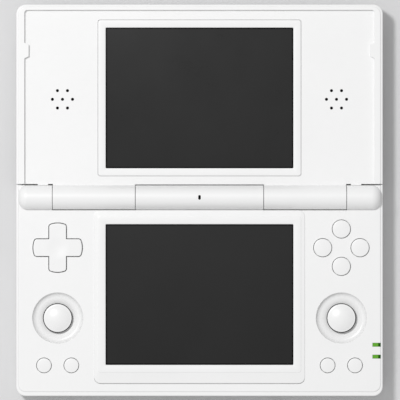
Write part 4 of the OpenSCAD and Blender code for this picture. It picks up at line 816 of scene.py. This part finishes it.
class CONSOLE_OT_speakers(bpy.types.Operator):
    """Builds the speakers' gauze and the microphone's foam, both near black where they fill the holes and the
    slot so as to paint their shade, and finishes the parts inside the lid
    """

    bl_idname = "console.speakers"
    bl_label = "Speakers and lid parts"

    def execute(self, context):
        low, high = span("speaker_meshes")
        under, top, radius, y = low[2], high[2], (high[1] - low[1]) / 2, (low[1] + high[1]) / 2
        slack, shade_plug_edge = 0.05, 0.3
        # painted shade: near-black plugs of the gauze rise into the holes, so that the holes read dark as deep
        # shade would; the gauze behind the holes is dark of itself
        hole, raised = sizes("speaker_hole") / 2 - slack, top + sizes("hole_shade_rise")
        disc = [[radius, under], [radius, top]]
        shade_plug = [[hole, top], *(round_over(0, raised, shade_plug_edge, 5) * [-1, 1] + [hole, 0])]
        turn = np.radians(np.arange(0, 360, 60))
        offsets = sizes("speaker_pitch") * np.vstack([[0, 0], np.stack([np.cos(turn), np.sin(turn)], -1)])
        skins = []
        for x in (low[0] + radius, high[0] - radius):
            skins.append(skin(revolve(disc, x, y, around=72), "flat", "flat"))
            skins += [skin(revolve(shade_plug, x + dx, y + dy, around=24), "flat", "point") for dx, dy in offsets]
        dress(piece("speaker_gauze", skins), "lid", gauze("speaker_weave", colours("speaker")),
              "speaker_gauze", "speaker_meshes")

        # painted shade: a near-black foam block fills the microphone slot to just under its top, and its
        # colour stands for the slot's shade as well as the foam's own
        x, y, _ = middle("microphone")
        half_x, half_y = sizes("mic_width") / 2, sizes("mic_length") / 2
        slack, sunk = 0.02, 0.4
        heights = (span("microphone")[1][2] + slack, span("hinge_centre_cover")[1][2] - sunk)
        foam = slab((x - half_x, x + half_x, y - half_y, y + half_y), half_x - 0.01, heights, 0.1)
        dress(piece("microphone_foam", [foam]), "base",
              rubbery("black_foam", colours("foam"), 0.9, sheen=0.0, gloss=0.0), "foot_rubber")
        paint(black_plastic(), "speakers", "microphone")
        paint(steel(), "hinge_friction_cartridge", "lid_magnet", "hinge_spindle_right")
        foil = moulded("copper_foil", colours("copper"), 0.35, grain=0.006, tone=0.85, coat=0.2)
        paint(foil, "display_flex")
        unlit = moulded("unlit_display", colours("display"), 0.12, grain=0.001, tone=0.7, coat=0.3)
        paint(unlit, "upper_display", "lower_display")
        return {"FINISHED"}


def crossed_screw(x, y, head_r, head_h, head_z, tip_z):
    """A screw seen from below: a polar grid whose outer face sinks by the recess depth where the point lies
    within a narrow band along either axis, then the head's edge, the shaft and its tip."""
    around, shaft_r, head_edge, tip = 64, sizes("screw_shaft"), 0.2, 0.3
    depth = min(sizes("screw_recess"), head_h * 0.6)
    radii = np.linspace(0.04, head_r - 0.22, 16)
    t = np.linspace(0, 2 * math.pi, around, endpoint=False)
    u, v = radii[:, None] * np.cos(t), radii[:, None] * np.sin(t)
    near, far = np.minimum(abs(u), abs(v)), np.maximum(abs(u), abs(v))
    width, reach, blur = head_r * 0.13, head_r * 0.62, 0.12
    band = 1 - smooth_rise(near, width, width + blur)
    sink = depth * band * (1 - smooth_rise(far, reach * 0.55, reach)) * (1 - 0.25 * far / reach)
    face = np.stack([x + u, y + v, head_z + sink], -1)
    edge = round_over(0, 0, head_edge)[::-1] * [-1, -1] + [head_r, head_z]
    profile = np.vstack([edge, [[head_r, head_z + head_h], [shaft_r, head_z + head_h], [shaft_r, tip_z - tip],
                                [shaft_r - tip, tip_z]]])
    return skin(np.concatenate([face, revolve(profile, x, y, around)]), "point", "flat")


class CONSOLE_OT_underside(bpy.types.Operator):
    """Builds the rubber feet and the crossed screws of the underside"""

    bl_idname = "console.underside"
    bl_label = "Underside"

    def execute(self, context):
        low, high = span("rubber_feet")
        radius, hollow = sizes("rubber_foot"), 0.14
        profile = np.vstack([
            [[0.1, hollow], [radius * 0.5, hollow], [radius * 0.62, 0.05], [radius * 0.7, 0.0]],
            round_over(0, 0, 0.35, 7)[::-1] * [-1, -1] + [radius, 0], [[radius, high[2]]]])
        feet = [skin(revolve(profile, side * (high[0] - radius), y, around=72), "point", "flat")
                for side in (-1, 1) for y in (low[1] + radius, high[1] - radius)]
        dress(piece("feet", feet), "base", rubbery("foot_rubber_skin", colours("rubber")), "foot_rubber",
              "rubber_feet")

        low, high = span("base_screws")
        head_r, across = sizes("screw_head"), sizes("screw_across")
        front = low[1] + head_r
        places = [(across, front), (across, front + sizes("screw_rear")),
                  (high[0] - head_r, front + sizes("screw_side"))]
        screws = [crossed_screw(side * x, y, head_r, sizes("screw_head_height"), low[2], high[2])
                  for side in (-1, 1) for x, y in places]
        dress(piece("crossed_screws", screws), "base", steel(), "steel", "base_screws")

        low, high = span("battery_cover_screw")
        x, y, _ = middle("battery_cover_screw")
        screw = crossed_screw(x, y, (high[0] - low[0]) / 2, sizes("cover_head_height"), low[2], high[2])
        dress(piece("cover_screw", [screw]), "base", steel(), "steel", "battery_cover_screw")
        return {"FINISHED"}


def ridged_bar(length_u, height_v, depth_w):
    """A low bar in its own axes: its outer face is a wave of ridges along the length, swept across the
    height, and drawn in at both ends by a quarter circle. Places along it are shares of its half length."""
    ridge, count = sizes("knob_ridge"), bpy.context.scene.console_sizes.knob_ridges
    ridged, ridges_fade, ridges_end, end_from, side, side_height = 0.7, 0.62, 0.72, 0.93, 0.12, 0.4
    u = np.linspace(-1, 1, 101)
    centre = 1 - smooth_rise(abs(u), ridges_fade, ridges_end)
    end = np.clip((abs(u) - end_from) / (1 - end_from), 0, 1)
    wave = 0.5 - 0.5 * np.cos(u * math.pi * count / ridged)
    w = (depth_w - ridge * centre * wave) * np.sqrt(np.clip(1 - end**2, 0.05, 1))
    t = np.radians(np.linspace(0, 90, 6))
    drawn_in = side * (1 - np.cos(t))
    v = np.concatenate([drawn_in - 1, 1 - drawn_in[::-1]])
    rise = side_height + (1 - side_height) * np.sin(t)
    rings = np.empty((len(v), len(u) + 2, 3))
    rings[:, :-2, 0] = u * length_u / 2
    rings[:, :-2, 2] = w * np.concatenate([rise, rise[::-1]])[:, None]
    rings[:, -2:, 0] = [length_u / 2, -length_u / 2]
    rings[:, -2:, 2] = -0.001
    rings[..., 1] = v[:, None] * height_v / 2
    return rings


def turned(points, axes, offset):
    """Points turned so that their x, y and z lie along the three given directions, and moved."""
    return points @ np.array(axes, float) + offset


def slider_knob(node, outwards):
    """The skins of a slider: a ridged bar outside the wall, a stem through it and a plate behind it. They are
    made about the origin with the bar towards +x, turned so that +x points outwards, and moved into place."""
    low, high = span(node)
    out_x, out_y = outwards
    depth, along = (high - low)[:2] if out_x else (high - low)[1::-1]
    rise, thick, overlap = high[2] - low[2], sizes("knob_bar"), 0.05
    bar_back, plate_front = depth / 2 - thick, sizes("knob_plate") - depth / 2
    stem_half, stem_rise, plate_half = 1.0, 0.55, 2.1
    bar = turned(ridged_bar(along, rise, thick), [[0, 1, 0], [0, 0, 1], [1, 0, 0]], [bar_back, 0, 0])
    stem_box = (plate_front - overlap, bar_back + overlap, -stem_half, stem_half)
    stem = slab(stem_box, 0.1, (-stem_rise, stem_rise), 0.05)
    plate = slab((-depth / 2, plate_front, -plate_half, plate_half), 0.15, (-rise / 2, rise / 2), 0.1)
    turn = [[out_x, out_y, 0], [-out_y, out_x, 0], [0, 0, 1]]
    return [(turned(points, turn, middle(node)), faces) for points, faces in (skin(bar), stem, plate)]


class CONSOLE_OT_edge_controls(bpy.types.Operator):
    """Builds the ridged sliders and the stylus, and finishes the sockets"""

    bl_idname = "console.edge_controls"
    bl_label = "Edge controls"

    def execute(self, context):
        plastic = control_plastic()
        for name, outwards in (("power", (1, 0)), ("volume", (0, -1))):
            node = name + "_slider"
            dress(piece(name + "_knob", slider_knob(node, outwards)), node, plastic, "white_control", node)

        low, high = span("stylus")
        x, _, z = middle("stylus")
        r, tip, grip = (high[0] - low[0]) / 2, 0.6, (high[0] - low[0]) / 2 - 0.16
        t = np.radians(np.linspace(0, 84, 8))
        ball = high[1] - low[1] - tip
        profile = np.vstack([
            [[r - 0.35, 0], [r - 0.12, 0.06], [r, 0.25], [r, 1.6], [grip, 1.75], [grip, 2.3], [r, 2.45]],
            [[r, ball - 4.4], [r - 0.05, ball - 4.2], [tip + 0.02, ball - 0.1]],
            np.stack([tip * np.cos(t), ball + tip * np.sin(t)], -1)])
        rings = turned(revolve(profile, 0, 0, around=48), [[1, 0, 0], [0, 0, 1], [0, 1, 0]], [x, low[1], z])
        dress(piece("stylus_pen", [skin(rings, "flat", "point")]), "stylus", plastic, "white_control",
              "stylus")
        paint(black_plastic(), "headphone_jack", "card_connector", "side_switches")
        paint(steel(), "charging_port", "shoulder_pivot_pins")
        return {"FINISHED"}


class CONSOLE_OT_insides(bpy.types.Operator):
    """Finishes the boards, the battery and the silicone under the buttons"""

    bl_idname = "console.insides"
    bl_label = "Insides"

    def execute(self, context):
        paint(circuit("solder_mask", colours("board")), "main_board", "radio_board")
        paint(black_plastic(), "board_chips")
        paint(wrapped("wrapped_cell", colours("cell")), "battery")
        paint(rubbery("clear_silicone", colours("silicone"), 0.5), "button_membranes")
        return {"FINISHED"}


class CONSOLE_OT_stage(bpy.types.Operator):
    """Makes the floor, the lamps, the world and the camera over the opened console"""

    bl_idname = "console.stage"
    bl_label = "Stage"

    def execute(self, context):
        scene, stage = context.scene, context.scene.console_stage
        points_across, under_feet = 41, 0.02 * MM
        line = np.linspace(-stage.floor_half, stage.floor_half, points_across)
        x, y = np.meshgrid(line, line)
        points = np.stack([x, y, np.full_like(x, -under_feet)], -1).reshape(-1, 3)
        faces = grid_quads(points_across, points_across, close_columns=False)
        mesh = bpy.data.meshes.new("floor")
        mesh.from_pydata(points.tolist(), [], faces.tolist())
        floor = bpy.data.objects.new("floor", mesh)
        scene.collection.objects.link(floor)
        f = Finish("floor_paper", Specular_IOR_Level=0.2)
        tone = colours("floor")
        f.set("Base Color", f.blend(f.spread(f.noise(6.0), 0.0, 1.0), solid(tone, 0.985), solid(tone)))
        f.set("Roughness", f.spread(f.noise(90.0), 0.75, 0.9))
        floor.data.materials.append(f.material)

        world = bpy.data.worlds.new("soft_room")
        world.use_nodes = True
        background = world.node_tree.nodes["Background"]
        background.inputs["Color"].default_value = (1.0, 1.0, 1.0, 1.0)
        background.inputs["Strength"].default_value = stage.room
        scene.world = world
        for name in ("key", "fill"):
            lamp = bpy.data.lights.new(name + "_lamp", "AREA")
            lamp.shape = "DISK"
            lamp.size, lamp.energy = getattr(stage, name + "_size"), getattr(stage, name + "_power")
            obj = bpy.data.objects.new(name + "_lamp", lamp)
            obj.location = getattr(stage, name + "_place")
            obj.rotation_euler = (-obj.location).to_track_quat("-Z", "Y").to_euler()
            scene.collection.objects.link(obj)

        camera = bpy.data.cameras.new("camera")
        camera.type, camera.lens, camera.sensor_width = "PERSP", 900.0, 36.0
        camera.clip_start, camera.clip_end = 0.1, 12.0
        obj = bpy.data.objects.new("camera", camera)
        away = stage.view_width * camera.lens / camera.sensor_width
        obj.location = (stage.view_right, stage.view_back, face_height() * MM + away)
        scene.collection.objects.link(obj)
        scene.camera = obj
        scene.view_settings.view_transform = "Standard"
        return {"FINISHED"}


OPERATORS = (
    CONSOLE_OT_shells,
    CONSOLE_OT_screens,
    CONSOLE_OT_pad,
    CONSOLE_OT_buttons,
    CONSOLE_OT_circle_pads,
    CONSOLE_OT_lights,
    CONSOLE_OT_speakers,
    CONSOLE_OT_underside,
    CONSOLE_OT_edge_controls,
    CONSOLE_OT_insides,
    CONSOLE_OT_stage,
)


class CONSOLE_PT_panel(bpy.types.Panel):
    """Lists the sizes, the colours and the steps"""

    bl_idname = "CONSOLE_PT_panel"
    bl_label = "Console"
    bl_space_type = "VIEW_3D"
    bl_region_type = "UI"
    bl_category = "Console"

    def draw(self, context):
        scene = context.scene
        for group in (scene.console_sizes, scene.console_colours, scene.console_stage):
            column = self.layout.column(align=True)
            for key in group.__annotations__:
                column.prop(group, key)
        for operator in OPERATORS:
            self.layout.operator(operator.bl_idname)


CLASSES = (ConsoleSizes, ConsoleStage, ConsoleColours, *OPERATORS, CONSOLE_PT_panel)


def register():
    for cls in CLASSES:
        bpy.utils.register_class(cls)
    bpy.types.Scene.console_sizes = PointerProperty(type=ConsoleSizes)
    bpy.types.Scene.console_colours = PointerProperty(type=ConsoleColours)
    bpy.types.Scene.console_stage = PointerProperty(type=ConsoleStage)


def unregister():
    del bpy.types.Scene.console_sizes
    del bpy.types.Scene.console_colours
    del bpy.types.Scene.console_stage
    for cls in reversed(CLASSES):
        bpy.utils.unregister_class(cls)


def main():
    """Registers the add-on and runs its steps in order."""
    register()
    for operator in OPERATORS:
        group, name = operator.bl_idname.split(".")
        getattr(getattr(bpy.ops, group), name)()


if __name__ == "__main__":
    main()
